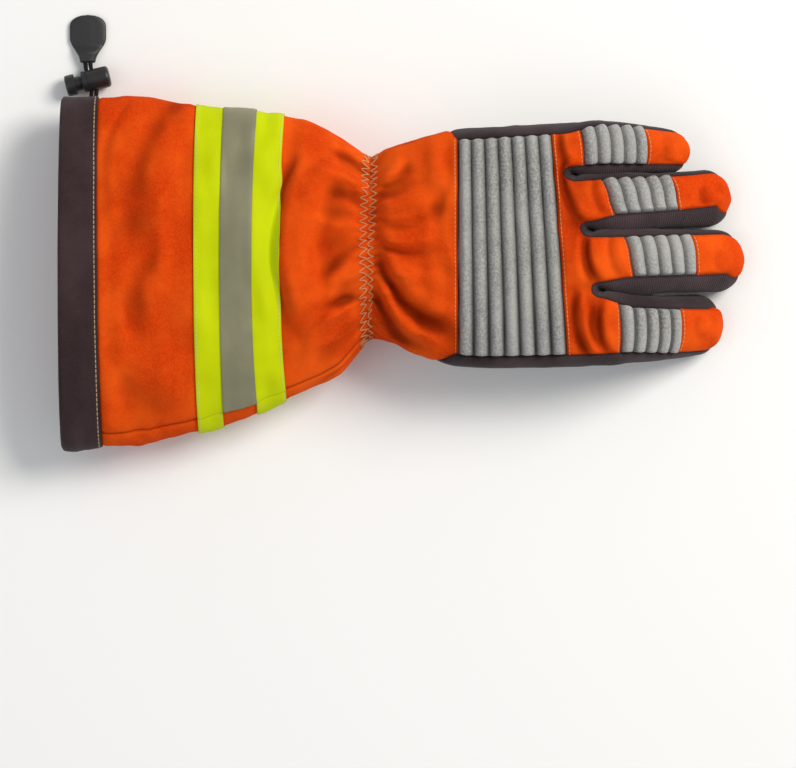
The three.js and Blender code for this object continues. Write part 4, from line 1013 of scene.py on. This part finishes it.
def panel(name, nodes, finish, grids, raised=0.0, relief=None, groove=0.8, grooveWidth=1.3, puff=0.0, puffWidth=4.0,
          rough=0.12, seed=1):
    # a closed wall on a window. Its outer face is point + normal * lift, with
    # lift = raised + relief + puff (1 - e^(-gap / w)) - groove e^(-(gap / g)^2) + rough * unevenness,
    # and what rises above raised is pressed flat on the floor. Its inner face is point + normal * (raised - wall),
    # or lies the thinnest wall below the outer one where that is deeper
    kind = finishes[finish]
    wall, thinnest, lowest = glove[kind["wall"]], 0.5, 0.3
    shape = gather(grids)
    points, normals = shape["points"], shape["normals"]
    gap = nearest(points, edgeSamples(shape, shape["rim"]))[0]
    lift = raised + puff * (1 - np.exp(-gap / puffWidth)) - groove * np.exp(-((gap / grooveWidth) ** 2))
    # painted shade that the relief gives along with its rise, none where it gives none
    paintedShade = np.zeros(len(points))
    if relief is not None:
        rise = relief(shape, gap)
        if isinstance(rise, tuple):
            rise, paintedShade = rise
        lift = lift + rise
    resting = standing(points, normals)
    lift = raised + np.where(lift > raised, (lift - raised) * resting, lift - raised)
    lift = lift + rough * (ease(gap / 2.5) * resting) * unevenness(points, seed)
    outer = points + normals * lift[:, None]
    sink = np.minimum(lift - raised + wall - thinnest, 0.0)
    inner = points + normals * (raised - wall + sink)[:, None]
    outer[:, 2] = np.maximum(outer[:, 2], 0.0)
    inner[:, 2] = np.maximum(inner[:, 2], lowest)
    count = len(points)
    rim = shape["rim"]
    walls = np.stack([rim[:, 1], rim[:, 0], rim[:, 0] + count, rim[:, 1] + count], axis=1)
    quads = np.concatenate([shape["quads"], shape["quads"][:, ::-1] + count, walls])
    tris = np.concatenate([shape["tris"], shape["tris"][:, ::-1] + count])
    corners = np.concatenate([quads.ravel(), tris.ravel()])
    sizes = np.concatenate([np.full(len(quads), 4), np.full(len(tris), 3)])
    cloth = shape["cloth"]
    wallCloth = cloth[shape["firstOf"]][walls % count]
    cornerCloth = np.concatenate([part.reshape(-1, 2) for part in (
        cloth[shape["quadCloth"]], cloth[shape["quadCloth"][:, ::-1]], wallCloth,
        cloth[shape["triCloth"]], cloth[shape["triCloth"][:, ::-1]],
    )])
    stitchGap, stitchRun = stitchFields(shape)
    fields = {
        "seamGap": np.concatenate([gap, gap]), "paintedShade": np.concatenate([paintedShade, np.zeros(count)]),
        "stitchGap": np.concatenate([stitchGap, np.full(count, farAway)]),
        "stitchRun": np.concatenate([stitchRun, stitchRun]),
    }
    sharp = np.concatenate([rim, rim + count])
    points = np.concatenate([outer, inner])
    thing = buildMesh(name, points, corners, sizes, kind["material"], cornerCloth, fields, sharp)
    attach(thing, "root")
    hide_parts(*nodes)
    return thing


def ribs(start, end, count, height, axis=0, base=-0.4):
    # rounded ribs across the run: base + height * |sin(pi phase)|^0.72, and painted shade in the valleys between two of
    # them, heavier where y is low
    def rise(shape, gap):
        run = np.clip((shape["params"][:, axis] - start) / (end - start), 0, 1)
        wobble = 0.035 * latticeNoise(shape["points"], 18.0, 5) * np.sin(np.pi * run)
        wave = np.abs(np.sin(np.pi * (run * count + wobble)))
        crest = wave**0.72
        swell = 1 + 0.12 * latticeNoise(shape["points"], 11.0, 6)
        # painted shade in the rib valleys grows heavier towards low y
        shaded = 1 + 0.7 * ease((20 - shape["points"][:, 1]) / 60)
        return height * swell * crest * ease(gap / 2.6) + base, np.clip((1 - wave) ** 2.0 * shaded, 0, 1)
    return rise


steps = {
    "side": 22, "lane": 32, "under": 28, "hem": 20, "cuff": 44, "tape": 12, "silver": 15, "wrist": 26, "heel": 12,
    "pad": 84, "web": 14, "slot": 9, "root": 12, "fingerPad": 50, "end": 10, "tip": 16, "between": 18,
    "thumbBase": 28, "thumbPad": 40, "thumbEnd": 18, "thumbSide": 24,
}
backLanes = spread(0, 4, 4 * steps["lane"])
indexLanes = spread(4, 5, steps["side"])
underLanes = spread(5, 9, 4 * steps["under"])
pinkyLanes = spread(9, 10, steps["side"])
aroundBack = np.concatenate([pinkyLanes[:-1], 10 + backLanes])
aroundUnder = np.concatenate([indexLanes, underLanes[1:]])
aroundAll = np.concatenate([backLanes, indexLanes[1:], underLanes[1:], pinkyLanes[1:]])

# cuff: from the hem through the gather to the hand in one cloth on each side
cuffStops = [line[name] for name in ("hem", "tape", "silver", "silverEnd", "tapeEnd", "gather")]
cuffRows = chain(cuffStops, [steps[name] for name in ("cuff", "tape", "silver", "tape", "cuff")])
wristRows = spread(line["gather"], line["suede"], steps["wrist"])
heelRows = spread(line["suede"], line["heel"], steps["heel"])
startRows = spread(line["heel"], line["padStart"], steps["heel"])

eyeletS, eyeletTurn = np.array([0.72]), np.array([8.97])
eyeletAt, eyeletAxis = trunk(eyeletS, eyeletTurn)[0], outward(trunk, eyeletS, eyeletTurn)[0]


def roundMouth(shape, gap):
    # the hem's cloth is folded over the mouth: a quarter round, radius half the wall; its waves stop round the eyelet
    radius = glove["hemWall"] / 2
    share = np.clip((shape["points"][:, 0] - mouthX) / radius, 0, 1)
    away = np.linalg.norm(shape["points"] - eyeletAt, axis=-1)
    fold = radius * (1 - np.sqrt(1 - (1 - share) ** 2))
    return cuffRelief(shape, gap) * ease((away - 7) / 9) - fold


def cuffRelief(shape, gap):
    # slow waves of the cloth: two noises, and a third drawn out round the cuff, as wrinkles lie
    points = shape["points"]
    wrinkles = 1.1 * latticeNoise(points * np.array([1.5, 0.42, 0.6]) + 7.0, 11.0, 35)
    return 1.4 * latticeNoise(points, 30.0, 31) + 0.8 * latticeNoise(points, 12.0, 32) + wrinkles


def cuffCloth(shape, gap):
    # the waves, and painted shade: painted shadow patches on top + painted shade between the puckers - (crease + 0.6
    # pleat + 0.3 wave) / 3.6, held from 0 to 1
    x, y, turn = shape["points"][:, 0], shape["points"][:, 1], shape["params"][:, 1]
    waves = cuffRelief(shape, gap)
    # painted shade between the puckers by the elastic
    pucker = 0.2 * np.exp(-((x - gatherX - 1) / 4.5) ** 2) * (1 - np.cos(puckerAngle(turn)))
    onTop = shape["normals"][:, 2] > 0
    crease = np.where(onTop, creaseHeight(x, y, 1), creaseHeight(x, y, -1))
    rise = crease + 0.6 * gatherFold(x, turn) + 0.3 * waves
    paintedShade = np.clip(np.where(onTop, dipShade(x, y, 1), 0.0) + pucker - rise / 3.6, 0, 1)
    return waves, paintedShade


hemBand = panel("hemBand", ["hem_band"], "hem",
                [grid(trunk, spread(line["mouth"], line["hem"], steps["hem"]), aroundAll, sewnU=(line["hem"],))],
                raised=tapeRise, relief=roundMouth, groove=0.6, seed=11)
cuffLook = {"relief": cuffCloth, "rough": 0.16, "seed": 12}
backGrids = [grid(trunk, cuffRows, aroundBack)]
backGrids += [grid(taperedTrunk, rows, lanes) for rows in (wristRows, heelRows) for lanes in (aroundBack, indexLanes)]
backGrids += [grid(taperedTrunk, startRows, backLanes, sewnU=(line["padStart"],))]
panel("orangeBack", ["gauntlet_back", "hand_back"], "orange", backGrids, **cuffLook)
panel("orangePalm", ["gauntlet_palm", "wrist_palm"], "orange",
      [grid(trunk, cuffRows, aroundUnder), grid(trunk, wristRows, underLanes, sewnU=(line["suede"],))], **cuffLook)
print("stage: cuff done")

tapeRows = chain(cuffStops[1:5], [steps["tape"], steps["silver"], steps["tape"]])
silverRows = spread(line["silver"], line["silverEnd"], steps["silver"])
foreRows = spread(line["silverEnd"], line["tapeEnd"], steps["tape"])
aftRows = spread(line["tape"], line["silver"], steps["tape"])
silverRise = tapeRise + glove["tapeSeat"] + glove["silverWall"]
for name, node, finish, rows, lanes, raised, sewn in (
    ("tapeBack", "tape_back", "yellow", tapeRows, aroundBack, tapeRise, ("tape", "tapeEnd")),
    ("silverBack", "tape_back_silver", "silver", silverRows, aroundBack, silverRise, ()),
    ("tapePalmFore", "tape_palm_fore", "yellow", foreRows, aroundUnder, tapeRise, ("silverEnd", "tapeEnd")),
    ("tapePalmAft", "tape_palm_aft", "yellow", aftRows, aroundUnder, tapeRise, ("tape", "silver")),
):
    panel(name, [node], finish, [grid(trunk, rows, lanes, sewnU=[line[edge] for edge in sewn])], raised=raised,
          relief=cuffRelief, groove=0.2, grooveWidth=0.6, rough=0.0)
print("stage: tapes done")

# back of the hand and the ribbed pad over the knuckles
padRows = spread(line["padStart"], line["padEnd"], steps["pad"])
panel("knucklePad", ["knuckle_pad"], "ribbed", [grid(trunk, padRows, backLanes)],
      relief=ribs(line["padStart"], line["padEnd"], 7, 4.0), groove=1.2, grooveWidth=1.6, rough=0.1, seed=41)


def rootRows(i):
    # t from the crotch to the pad: evenly round the slot's quarter circle, then straight
    length = fingerShapes[i]["length"]
    opening = slotHalf * (1 - np.cos(spread(0, np.pi / 2, steps["slot"]))) / length
    return np.concatenate([opening, spread(opening[-1], fingerRows[i]["padStart"], steps["root"])[1:]])


def ribbedRows(i):
    # t over the finger's pad, evenly
    return spread(fingerRows[i]["padStart"], fingerRows[i]["padEnd"], steps["fingerPad"])


def tipRows(i):
    # t from the pad's end to the straight part's end at 1, and from there round the tip to 2
    return chain([fingerRows[i]["padEnd"], 1, 2], [steps["end"], steps["tip"]])


def fingerStops(i):
    # t over a whole finger, from the crotch round its tip
    return np.concatenate([rootRows(i), ribbedRows(i)[1:], tipRows(i)[1:]])


def handCloth(shape, gap):
    # two noises and the folds of the finger roots, smoothed out at the seams, and painted shade in the folds, the low
    # waves, the corners by the crotches and the sunk patches
    x, y, points = shape["points"][:, 0], shape["points"][:, 1], shape["points"]
    waves = 0.9 * latticeNoise(points, 15.0, 33) + 0.5 * latticeNoise(points, 7.0, 34)
    folds = np.where(shape["normals"][:, 2] > 0.1, creaseHeight(x, y, 2), 0.0)
    dip = dipShade(x, y, 2)
    # painted shade in the corners by the crotches
    corner = sum(np.exp(-((x - crotches[k] + 2) ** 2 / 70.0 + (y - crotchY[k] + 2) ** 2 / 90.0)) for k in (1, 2, 3))
    paintedShade = np.clip(-folds / 3.2 - 0.2 * waves + 0.5 * corner + dip, 0, 1)
    return (waves + folds - 1.2 * dip) * ease(gap / 3.0), paintedShade


def webSwell(shape, gap):
    # the strips between two fingers bulge towards each other: 2.2 sin(pi w) across, gone past the finger's middle
    t, across = shape["params"][:, 0], np.mod(shape["params"][:, 1] - 1, 1.0)
    return 2.2 * np.sin(np.pi * np.clip(across, 0, 1)) * ease(t / 0.08) * ease((0.62 - t) / 0.35)


webRows = spread(line["padEnd"], crotchLine, steps["web"])
topLanes = spread(0, 1, steps["lane"])
frontLanes = spread(2, 3, steps["under"])
bandGrids = [grid(trunk, webRows, backLanes, sewnU=(line["padEnd"],))]
bandGrids += [grid(fingerSkin(i), rootRows(i), topLanes, sewnU=(fingerRows[i]["padStart"],)) for i in range(4)]
panel("knuckleBand", ["knuckle_band"], "orange", bandGrids, relief=handCloth, puff=0.9, puffWidth=3.0, groove=0.9,
      rough=0.22, seed=51)
for i, row in enumerate(fingerRows):
    skin, name = fingerSkin(i), row["name"]
    panel(name + "Pad", ["finger_pad_" + name], "ribbed", [grid(skin, ribbedRows(i), topLanes)],
          relief=ribs(row["padStart"], row["padEnd"], 5, 3.2), groove=1.0, rough=0.08, seed=60 + i)
    panel(name + "Tip", ["finger_tip_" + name], "orange", [grid(skin, tipRows(i), topLanes, sewnU=(row["padEnd"],))],
          relief=handCloth, puff=0.8, puffWidth=3.0, rough=0.2, seed=70 + i)
    panel(name + "Front", ["finger_front_" + name], "suede",
          [grid(trunk, webRows, spread(8 - i, 9 - i, steps["under"]), sewnU=(line["padEnd"],)),
           grid(skin, fingerStops(i), frontLanes)],
          puff=0.7, puffWidth=3.0, groove=0.9, rough=0.14, seed=80 + i)
    if i < 3:
        after = fingerRows[i + 1]["name"]
        panel(name + "Web", [f"fourchette_{name}_{after}"], "twill",
              [grid(skin, fingerStops(i), spread(1, 2, steps["between"])),
               grid(fingerSkin(i + 1), fingerStops(i + 1), spread(3, 4, steps["between"]))],
              relief=webSwell, puff=0.5, puffWidth=2.0, groove=0.7, rough=0.2, seed=90 + i)
stripRows = chain([*(line[name] for name in ("heel", "padStart", "padEnd")), crotchLine],
                  [steps[name] for name in ("heel", "pad", "web")])
for name, node, lanes, i, side, seed in (("pinkySide", "side_strip_pinky", pinkyLanes, 0, 3, 101),
                                         ("indexSide", "side_strip_index", indexLanes, 3, 1, 102)):
    sideLanes = spread(side, side + 1, steps["side"])
    panel(name, [node], "twill",
          [grid(taperedTrunk, stripRows, lanes), grid(fingerSkin(i), fingerStops(i), sideLanes)],
          puff=0.7, puffWidth=2.5, groove=0.7, rough=0.25, seed=seed)
print("stage: fingers done")

# palm and thumb, which grows from a window of the palm
windowSteps = round((thumbSpec["windowTurn"] - 5) * steps["under"])
windowLanes, restLanes = underLanes[:windowSteps + 1], underLanes[windowSteps:]
panel("palmHeel", ["palm_heel"], "suede", [grid(trunk, heelRows, restLanes, sewnU=(line["heel"], line["suede"]))],
      puff=0.5, rough=0.1, seed=111)
panel("palmPanel", ["palm_panel"], "suede",
      [grid(trunk, np.concatenate([startRows, padRows[1:]]), restLanes, sewnU=(line["heel"], line["padEnd"])),
       grid(trunk, padRows, windowLanes, sewnU=(line["padEnd"],))],
      puff=0.8, rough=0.14, seed=112)
thumbSeam, thumbPadEnd = thumbSpec["rootShare"], thumbSpec["padEnd"]
baseRows = spread(0, thumbSeam, steps["thumbBase"])
ribRows = spread(thumbSeam, thumbPadEnd, steps["thumbPad"])
endRows = chain([thumbPadEnd, 1, 2], [steps["thumbEnd"]] * 2)
thumbStops = np.concatenate([baseRows, ribRows[1:], endRows[1:]])
thumbFace = spread(0, 1, windowSteps)
panel("thumbBase", ["thumb_base"], "orange", [grid(thumb, baseRows, 2 + thumbFace, sewnU=(thumbSeam,))],
      puff=0.6, rough=0.25, seed=121)
panel("thumbPad", ["thumb_pad"], "ribbed", [grid(thumb, ribRows, 2 + thumbFace)],
      relief=ribs(thumbSeam, thumbPadEnd, 5, 2.3, base=-1.5), groove=0.5, rough=0.1, seed=122)
panel("thumbTip", ["thumb_tip"], "orange", [grid(thumb, endRows, 2 + thumbFace, sewnU=(thumbPadEnd,))],
      puff=0.6, rough=0.2, seed=123)
panel("thumbFront", ["thumb_front"], "suede", [grid(thumb, thumbStops, thumbFace)], puff=0.6, rough=0.14, seed=124)
panel("thumbStrip", ["thumb_strip"], "twill",
      [grid(thumb, thumbStops, spread(side, side + 1, steps["thumbSide"])) for side in (1, 3)],
      puff=0.5, puffWidth=2.0, groove=0.7, rough=0.2, seed=125)
print("stage: palm and thumb done")


def tubeAlong(path, radius, sides, closed=False):
    # rings of a round section square to a path: point + radius (side cos a + up sin a), ends capped by a fan
    ahead = np.roll(path, -1, axis=0) - np.roll(path, 1, axis=0)
    if not closed:
        ahead[0], ahead[-1] = path[1] - path[0], path[-1] - path[-2]
    ahead /= np.linalg.norm(ahead, axis=1, keepdims=True)
    side = np.cross(ahead, [0.03, 0.05, 1.0])
    side /= np.linalg.norm(side, axis=1, keepdims=True)
    up = np.cross(side, ahead)
    angle = (2 * np.pi * np.arange(sides) / sides)[None, :, None]
    rings = path[:, None, :] + radius * (side[:, None, :] * np.cos(angle) + up[:, None, :] * np.sin(angle))
    count = len(path)
    last = count if closed else count - 1
    i, j = np.meshgrid(np.arange(last), np.arange(sides), indexing="ij")
    nextI, nextJ = (i + 1) % count, (j + 1) % sides
    quads = np.stack([i * sides + j, i * sides + nextJ, nextI * sides + nextJ, nextI * sides + j], axis=-1)
    quads = quads.reshape(-1, 4)
    run = runAlong(path)
    here, there = run[i], run[np.minimum(i + 1, count - 1)]
    runs = np.stack([here, here, there, there], axis=-1)
    turns = np.stack([j, j + 1, j + 1, j], axis=-1) * (2 * np.pi * radius / sides)
    cloth = np.stack([runs, turns], axis=-1).reshape(-1, 2)
    points = rings.reshape(-1, 3)
    corners, sizes = quads.ravel(), np.full(len(quads), 4)
    if not closed:
        caps = np.concatenate([np.arange(sides)[::-1], (count - 1) * sides + np.arange(sides)])
        corners = np.concatenate([corners, caps])
        sizes = np.concatenate([sizes, [sides, sides]])
        cloth = np.concatenate([cloth, np.zeros((2 * sides, 2))])
    return points, corners, sizes, cloth


def joinParts(parts):
    # several (points, corners, sizes, cloth) as one
    points, corners, sizes, cloth = zip(*parts)
    starts = np.cumsum([0] + [len(part) for part in points])
    return (np.concatenate(points), np.concatenate([part + start for part, start in zip(corners, starts)]),
            np.concatenate(sizes), np.concatenate(cloth))


def clothSurface(s, turn):
    # a point on the orange cloth's outer face, its normal with it
    points, normals = trunk(s, turn), outward(trunk, s, turn)
    lift = cuffRelief({"points": points}, None) + cuffLook["rough"] * unevenness(points, cuffLook["seed"])
    return points + normals * (lift * standing(points, normals))[:, None], normals


# two rows of zigzag stitches over the elastic at the wrist
zigzag = {"rows": (-1.7, 3.5), "width": 4.5, "count": 54, "cuts": 8, "thread": 0.32, "sunk": 0.12, "bulge": 0.25,
          "sides": 5, "ringCuts": 800}
strands = []
ringTurns = spread(0, 10, zigzag["ringCuts"])
ring = trunk(line["gather"], ringTurns)
ringRun = runAlong(ring)
for offset in zigzag["rows"]:
    step = np.arange(zigzag["count"] * zigzag["cuts"])
    turn = np.interp(step / len(step), ringRun / ringRun[-1], ringTurns)
    swing = 1 - 4 * np.abs(np.mod(step / zigzag["cuts"], 1.0) - 0.5)
    across = offset + zigzag["width"] / 2 * np.clip(1.15 * swing, -1, 1)
    span = np.where(across < 0, gatherX - (tapeX + glove["tapeWidth"]), 0.024 * gloveLength - gatherX)
    spot, normal = clothSurface(line["gather"] + across / span, turn)
    bulge = zigzag["bulge"] * np.cos(np.pi * np.clip(swing, -1, 1) / 2)
    path = spot + normal * (zigzag["thread"] - zigzag["sunk"] + bulge)[:, None]
    path[:, 2] = np.maximum(path[:, 2], zigzag["thread"])
    strands.append(tubeAlong(path, zigzag["thread"], zigzag["sides"], closed=True))
points, corners, sizes, cloth = joinParts(strands)
gatherStitches = buildMesh("gatherStitches", points, corners, sizes, threadMaterial, cloth)
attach(gatherStitches, "root")


def ringQuads(count, sides):
    # the quads between each two neighbours of so many closed rings of points
    i, j = np.meshgrid(np.arange(count - 1), np.arange(sides), indexing="ij")
    nextJ = (j + 1) % sides
    quads = [i * sides + j, (i + 1) * sides + j, (i + 1) * sides + nextJ, i * sides + nextJ]
    return np.stack(quads, axis=-1).reshape(-1, 4)


def turnedPart(profile, origin, axis, sides=64):
    # a profile of (radius, height) rows turned round an axis: origin + axis h + r (side cos a + up sin a)
    axis = np.asarray(axis, float) / np.linalg.norm(axis)
    side = np.cross(axis, [0.0, 0.0, 1.0] if abs(axis[2]) < 0.9 else [1.0, 0.0, 0.0])
    side /= np.linalg.norm(side)
    up = np.cross(axis, side)
    profile = np.asarray(profile, float)
    angle = 2 * np.pi * np.arange(sides) / sides
    ring = side[None, :] * np.cos(angle)[:, None] + up[None, :] * np.sin(angle)[:, None]
    points = np.asarray(origin) + axis * profile[:, 1][:, None, None] + profile[:, 0][:, None, None] * ring[None]
    return points.reshape(-1, 3), ringQuads(len(profile), sides)


def tidyMesh(thing):
    # doubles merged, normals out
    body = bmesh.new()
    body.from_mesh(thing.data)
    bmesh.ops.remove_doubles(body, verts=body.verts, dist=2e-6)
    bmesh.ops.recalc_face_normals(body, faces=body.faces)
    body.to_mesh(thing.data)
    body.free()


def cutAway(thing, cutter):
    # subtracts the cutter from a thing for good, and removes it
    cut = thing.modifiers.new("hole", "BOOLEAN")
    cut.operation, cut.object, cut.solver = "DIFFERENCE", cutter, "EXACT"
    shaped = bpy.data.meshes.new_from_object(thing.evaluated_get(bpy.context.evaluated_depsgraph_get()))
    thing.modifiers.clear()
    thing.data = shaped
    bpy.data.objects.remove(cutter, do_unlink=True)


def plainMesh(name, points, faces, finish):
    # a mesh of equal faces with no cloth coordinates, tidied
    sizes = np.full(len(faces), len(faces[0]))
    thing = buildMesh(name, points, faces.ravel(), sizes, finish, np.zeros((faces.size, 2)))
    tidyMesh(thing)
    return thing


def hardPiece(name, node, shape, finish, body, cutter=None):
    # a rigid piece from points and faces, cut by the cutter, that stands for its CAD node
    thing = plainMesh(name, *shape, finish)
    if cutter:
        cutAway(thing, cutter)
    thing.data.polygons.foreach_set("use_smooth", np.ones(len(thing.data.polygons), bool))
    thing.data.set_sharp_from_angle(angle=math.radians(32))
    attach(thing, body)
    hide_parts(node)
    return thing


toggle = {
    "cord": 2.4, "spacing": 2.9, "clearance": 0.4, "lockDiameter": 12.4, "lockLength": 16.0, "rim": 5.2, "wall": 1.8,
    "turn": math.radians(14), "head": 5.5, "travel": 4.0, "fit": 0.3, "centre": (-179.5, 110.8), "tabLength": 26.0,
    "tabWidth": 21.0, "tabThickness": 3.2, "neck": 9.0, "tabAhead": 1.1, "tabLonger": 1.7, "tabCuts": 60,
    "tabSides": 48, "cutReach": 20,
}
cordRoute = np.array([
    [-179.8, 90.6, 15.5], [-179.8, 91.3, 14.5], [-179.75, 92.7, 12.4], [-179.6, 94.2, 10.4], [-179.2, 96.6, 8.3],
    [-178.6, 99.6, 6.9], [-178.1, 102.6, 6.3], [-177.95, 104.8, 6.2], [-178.6, 107.5, 6.2], [-179.5, 110.9, 6.2],
    [-180.4, 114.3, 6.2], [-181.1, 117.2, 5.8], [-181.4, 118.9, 4.9], [-181.6, 120.4, 4.3], [-181.8, 121.9, 4.2],
])
lockAxis = np.array([math.cos(toggle["turn"]), math.sin(toggle["turn"]), 0.0])
lockAt = np.array([toggle["centre"][0], toggle["centre"][1], toggle["lockDiameter"] / 2])


def smoothRoute(route, each):
    # Catmull-Rom curve through the route's points, each span cut evenly
    padded = np.concatenate([[2 * route[0] - route[1]], route, [2 * route[-1] - route[-2]]])
    s = (np.arange(each) / each)[None, :, None]
    p0, p1, p2, p3 = (padded[k:len(padded) - 3 + k][:, None, :] for k in range(4))
    bend, twist = 2 * p0 - 5 * p1 + 4 * p2 - p3, 3 * p1 - p0 - 3 * p2 + p3
    curve = 0.5 * (2 * p1 + (p2 - p0) * s + bend * s**2 + twist * s**3)
    return np.concatenate([curve.reshape(-1, 3), route[-1:]])


radius = toggle["lockDiameter"] / 2
bore = radius - toggle["wall"]
farEnd = toggle["lockLength"] - toggle["rim"]
nearEnd = -toggle["rim"]
edgeRound = 0.08 * toggle["lockDiameter"]
slotHalfLength = (toggle["spacing"] + toggle["cord"] + 2 * toggle["clearance"]) / 2
slotHeight = toggle["cord"] / 2 + toggle["clearance"]
quarter = np.linspace(0, np.pi / 2, 6)


def slotCutter(name, travel):
    # the cords' slot through the lock as a box, longer by travel towards the head, turned with the lock
    lengths, widths = (-slotHalfLength - travel, slotHalfLength), (-toggle["cutReach"], toggle["cutReach"])
    corner = np.array([[x, y, z] for x in lengths for y in widths for z in (-slotHeight, slotHeight)], float)
    c, s = math.cos(toggle["turn"]), math.sin(toggle["turn"])
    spin = np.array([[c, -s, 0], [s, c, 0], [0, 0, 1]])
    faces = [(0, 1, 3, 2), (4, 6, 7, 5), (0, 4, 5, 1), (2, 3, 7, 6), (0, 2, 6, 4), (1, 5, 7, 3)]
    mesh = bpy.data.meshes.new(name)
    mesh.from_pydata(((corner @ spin.T + lockAt) * 0.001).tolist(), [], faces)
    return placed(name, mesh)


# the lock as (radius, height) rows: a barrel with a shallow groove by its rim, and a plunger with a round head
rimGroove = {"chamfer": 0.35, "depth": 0.3, "starts": 2.2, "floor": (2.5, 2.9), "ends": 3.2}
barrelRound = 2 * edgeRound
barrelProfile = [
    (0, farEnd - toggle["wall"]), (bore, farEnd - toggle["wall"]), (bore, nearEnd),
    (radius - rimGroove["chamfer"], nearEnd), (radius, nearEnd + rimGroove["chamfer"]),
    (radius, nearEnd + rimGroove["starts"]), *((radius - rimGroove["depth"], nearEnd + z) for z in rimGroove["floor"]),
    (radius, nearEnd + rimGroove["ends"]),
    *((radius - barrelRound * (1 - math.cos(a)), farEnd - barrelRound + barrelRound * math.sin(a)) for a in quarter),
    (0, farEnd),
]
stem = bore - toggle["fit"]
stemEnd = slotHalfLength + 0.12 * toggle["lockDiameter"]
headFace = nearEnd - toggle["travel"] - toggle["fit"]
headTop = headFace - toggle["head"]
headRound = 1.4 * edgeRound
plungerProfile = [
    (0, headTop),
    *((radius - headRound * (1 - math.cos(a)), headTop + headRound * (1 - math.sin(a))) for a in quarter[::-1]),
    (radius, headFace - 0.3), (radius - 0.3, headFace), (stem, headFace), (stem, stemEnd), (0, stemEnd),
]
lockBarrel = hardPiece("lockBarrel", "cord_lock_barrel", turnedPart(barrelProfile, lockAt, lockAxis), blackMoulding,
                       "root", slotCutter("barrelSlot", 0))
lockPlunger = hardPiece("lockPlunger", "cord_lock_plunger", turnedPart(plungerProfile, lockAt, lockAxis), blackMoulding,
                        "plunger", slotCutter("plungerSlot", toggle["travel"]))

# eyelet through the hem, and the hole behind it
eyeletSpec = {"outer": 6.5, "hole": 3.2, "thickness": 1.4, "edge": 0.35, "lifted": 0.3, "punch": (-6, 5)}
outerR, holeR, edge = (eyeletSpec[key] for key in ("outer", "hole", "edge"))
seat, crown = tapeRise + eyeletSpec["lifted"], eyeletSpec["thickness"] - edge
middleR, rimR = (outerR + holeR) / 2, (outerR - holeR) / 2
dome = [(middleR + rimR * math.cos(a), seat + edge + crown * math.sin(a)) for a in np.linspace(0, np.pi, 14)]
eyeletProfile = [(holeR, seat), (outerR, seat), *dome, (holeR, seat)]
hardPiece("eyelet", "eyelet", turnedPart(eyeletProfile, eyeletAt, eyeletAxis), eyeletMetal, "root")
inside, outside = eyeletSpec["punch"]
punchProfile = [(0, inside), (holeR, inside), (holeR, outside), (0, outside)]
cutAway(hemBand, plainMesh("eyeletPunch", *turnedPart(punchProfile, eyeletAt, eyeletAxis, 32), hemCloth))

# pull tab: flat moulded paddle, its half width and half thickness following its length
tabStart = cordRoute[-1]
tabY = tabStart[1] + toggle["spacing"] / 2 * lockAxis[1] - toggle["tabAhead"]
tabCuts, tabSides = toggle["tabCuts"], toggle["tabSides"]
tabAngles = np.linspace(0, 2 * np.pi, tabSides, endpoint=False)
alongTab, aroundTab = np.meshgrid(np.linspace(0, 1, tabCuts), tabAngles, indexing="ij")


def tabSurface(u, a):
    # superellipse |x / w|^3.4 + |z / h|^2.6 = 1, w(u) from the neck out to full width and round at the top end
    shoulder = ease((u - 0.02) / 0.5)
    width = mix(toggle["neck"] / 2, toggle["tabWidth"] / 2, shoulder)
    top = np.clip((u - 0.72) / 0.28, 0, 1)
    width = width * np.sqrt(np.maximum(1 - top**2.6, 0))
    thick = mix(tabStart[2] + toggle["cord"] / 2 + 0.6, toggle["tabThickness"], ease((u - 0.18) / 0.2)) / 2
    nearest, farthest = np.clip(1 - u / 0.03, 0, 1), np.clip((u - 0.95) / 0.05, 0, 1)
    endRound = np.sqrt(np.maximum(1 - nearest**2, 0)) * np.sqrt(np.maximum(1 - farthest**2, 0))
    x = signedPower(np.cos(a), 2 / 3.4) * width * np.minimum(1, 0.9 + 0.1 * endRound)
    z = signedPower(np.sin(a), 2 / 2.6) * thick * np.maximum(endRound, 0.05)
    ridge = 0.35 * np.exp(-((x / 2.2) ** 2)) * (np.sin(a) > 0) * ease((u - 0.1) / 0.1) * ease((0.9 - u) / 0.1)
    return rowOf(tabStart[0] + x, tabY + u * (toggle["tabLength"] + toggle["tabLonger"]), thick + z + ridge)


tabPoints = tabSurface(alongTab, aroundTab).reshape(-1, 3)
tabQuads = ringQuads(tabCuts, tabSides)
tabCorners = np.concatenate([tabQuads.ravel(), np.arange(tabSides)])
tabSizes = np.concatenate([np.full(len(tabQuads), 4), [tabSides]])
pullTab = buildMesh("pullTab", tabPoints, tabCorners, tabSizes, tabMoulding, np.zeros((len(tabCorners), 2)))
tidyMesh(pullTab)
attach(pullTab, "root")
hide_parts("pull_tab")

for name, node, side in (("strandAft", "cord_strand_aft", -0.5), ("strandFore", "cord_strand_fore", 0.5)):
    path = smoothRoute(cordRoute + lockAxis * toggle["spacing"] * side, 10)
    points, corners, sizes, cloth = tubeAlong(path, toggle["cord"] / 2, 16)
    strand = buildMesh(name, points, corners, sizes, cordMaterial, cloth)
    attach(strand, "root")
    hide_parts(node)

half = floorSpec["half"]
floorMesh = bpy.data.meshes.new("floor")
floorMesh.from_pydata([(-half, -half, 0), (half, -half, 0), (half, half, 0), (-half, half, 0)], [], [(0, 1, 2, 3)])
floor = placed("floor", floorMesh)
floorPaint, _, floorShader = newMaterial("floorPaint")
setInputs(floorShader, {"Base Color": (*floorSpec["tone"], 1), "Roughness": floorSpec["rough"]})
floorMesh.materials.append(floorPaint)

print("stage: all built")
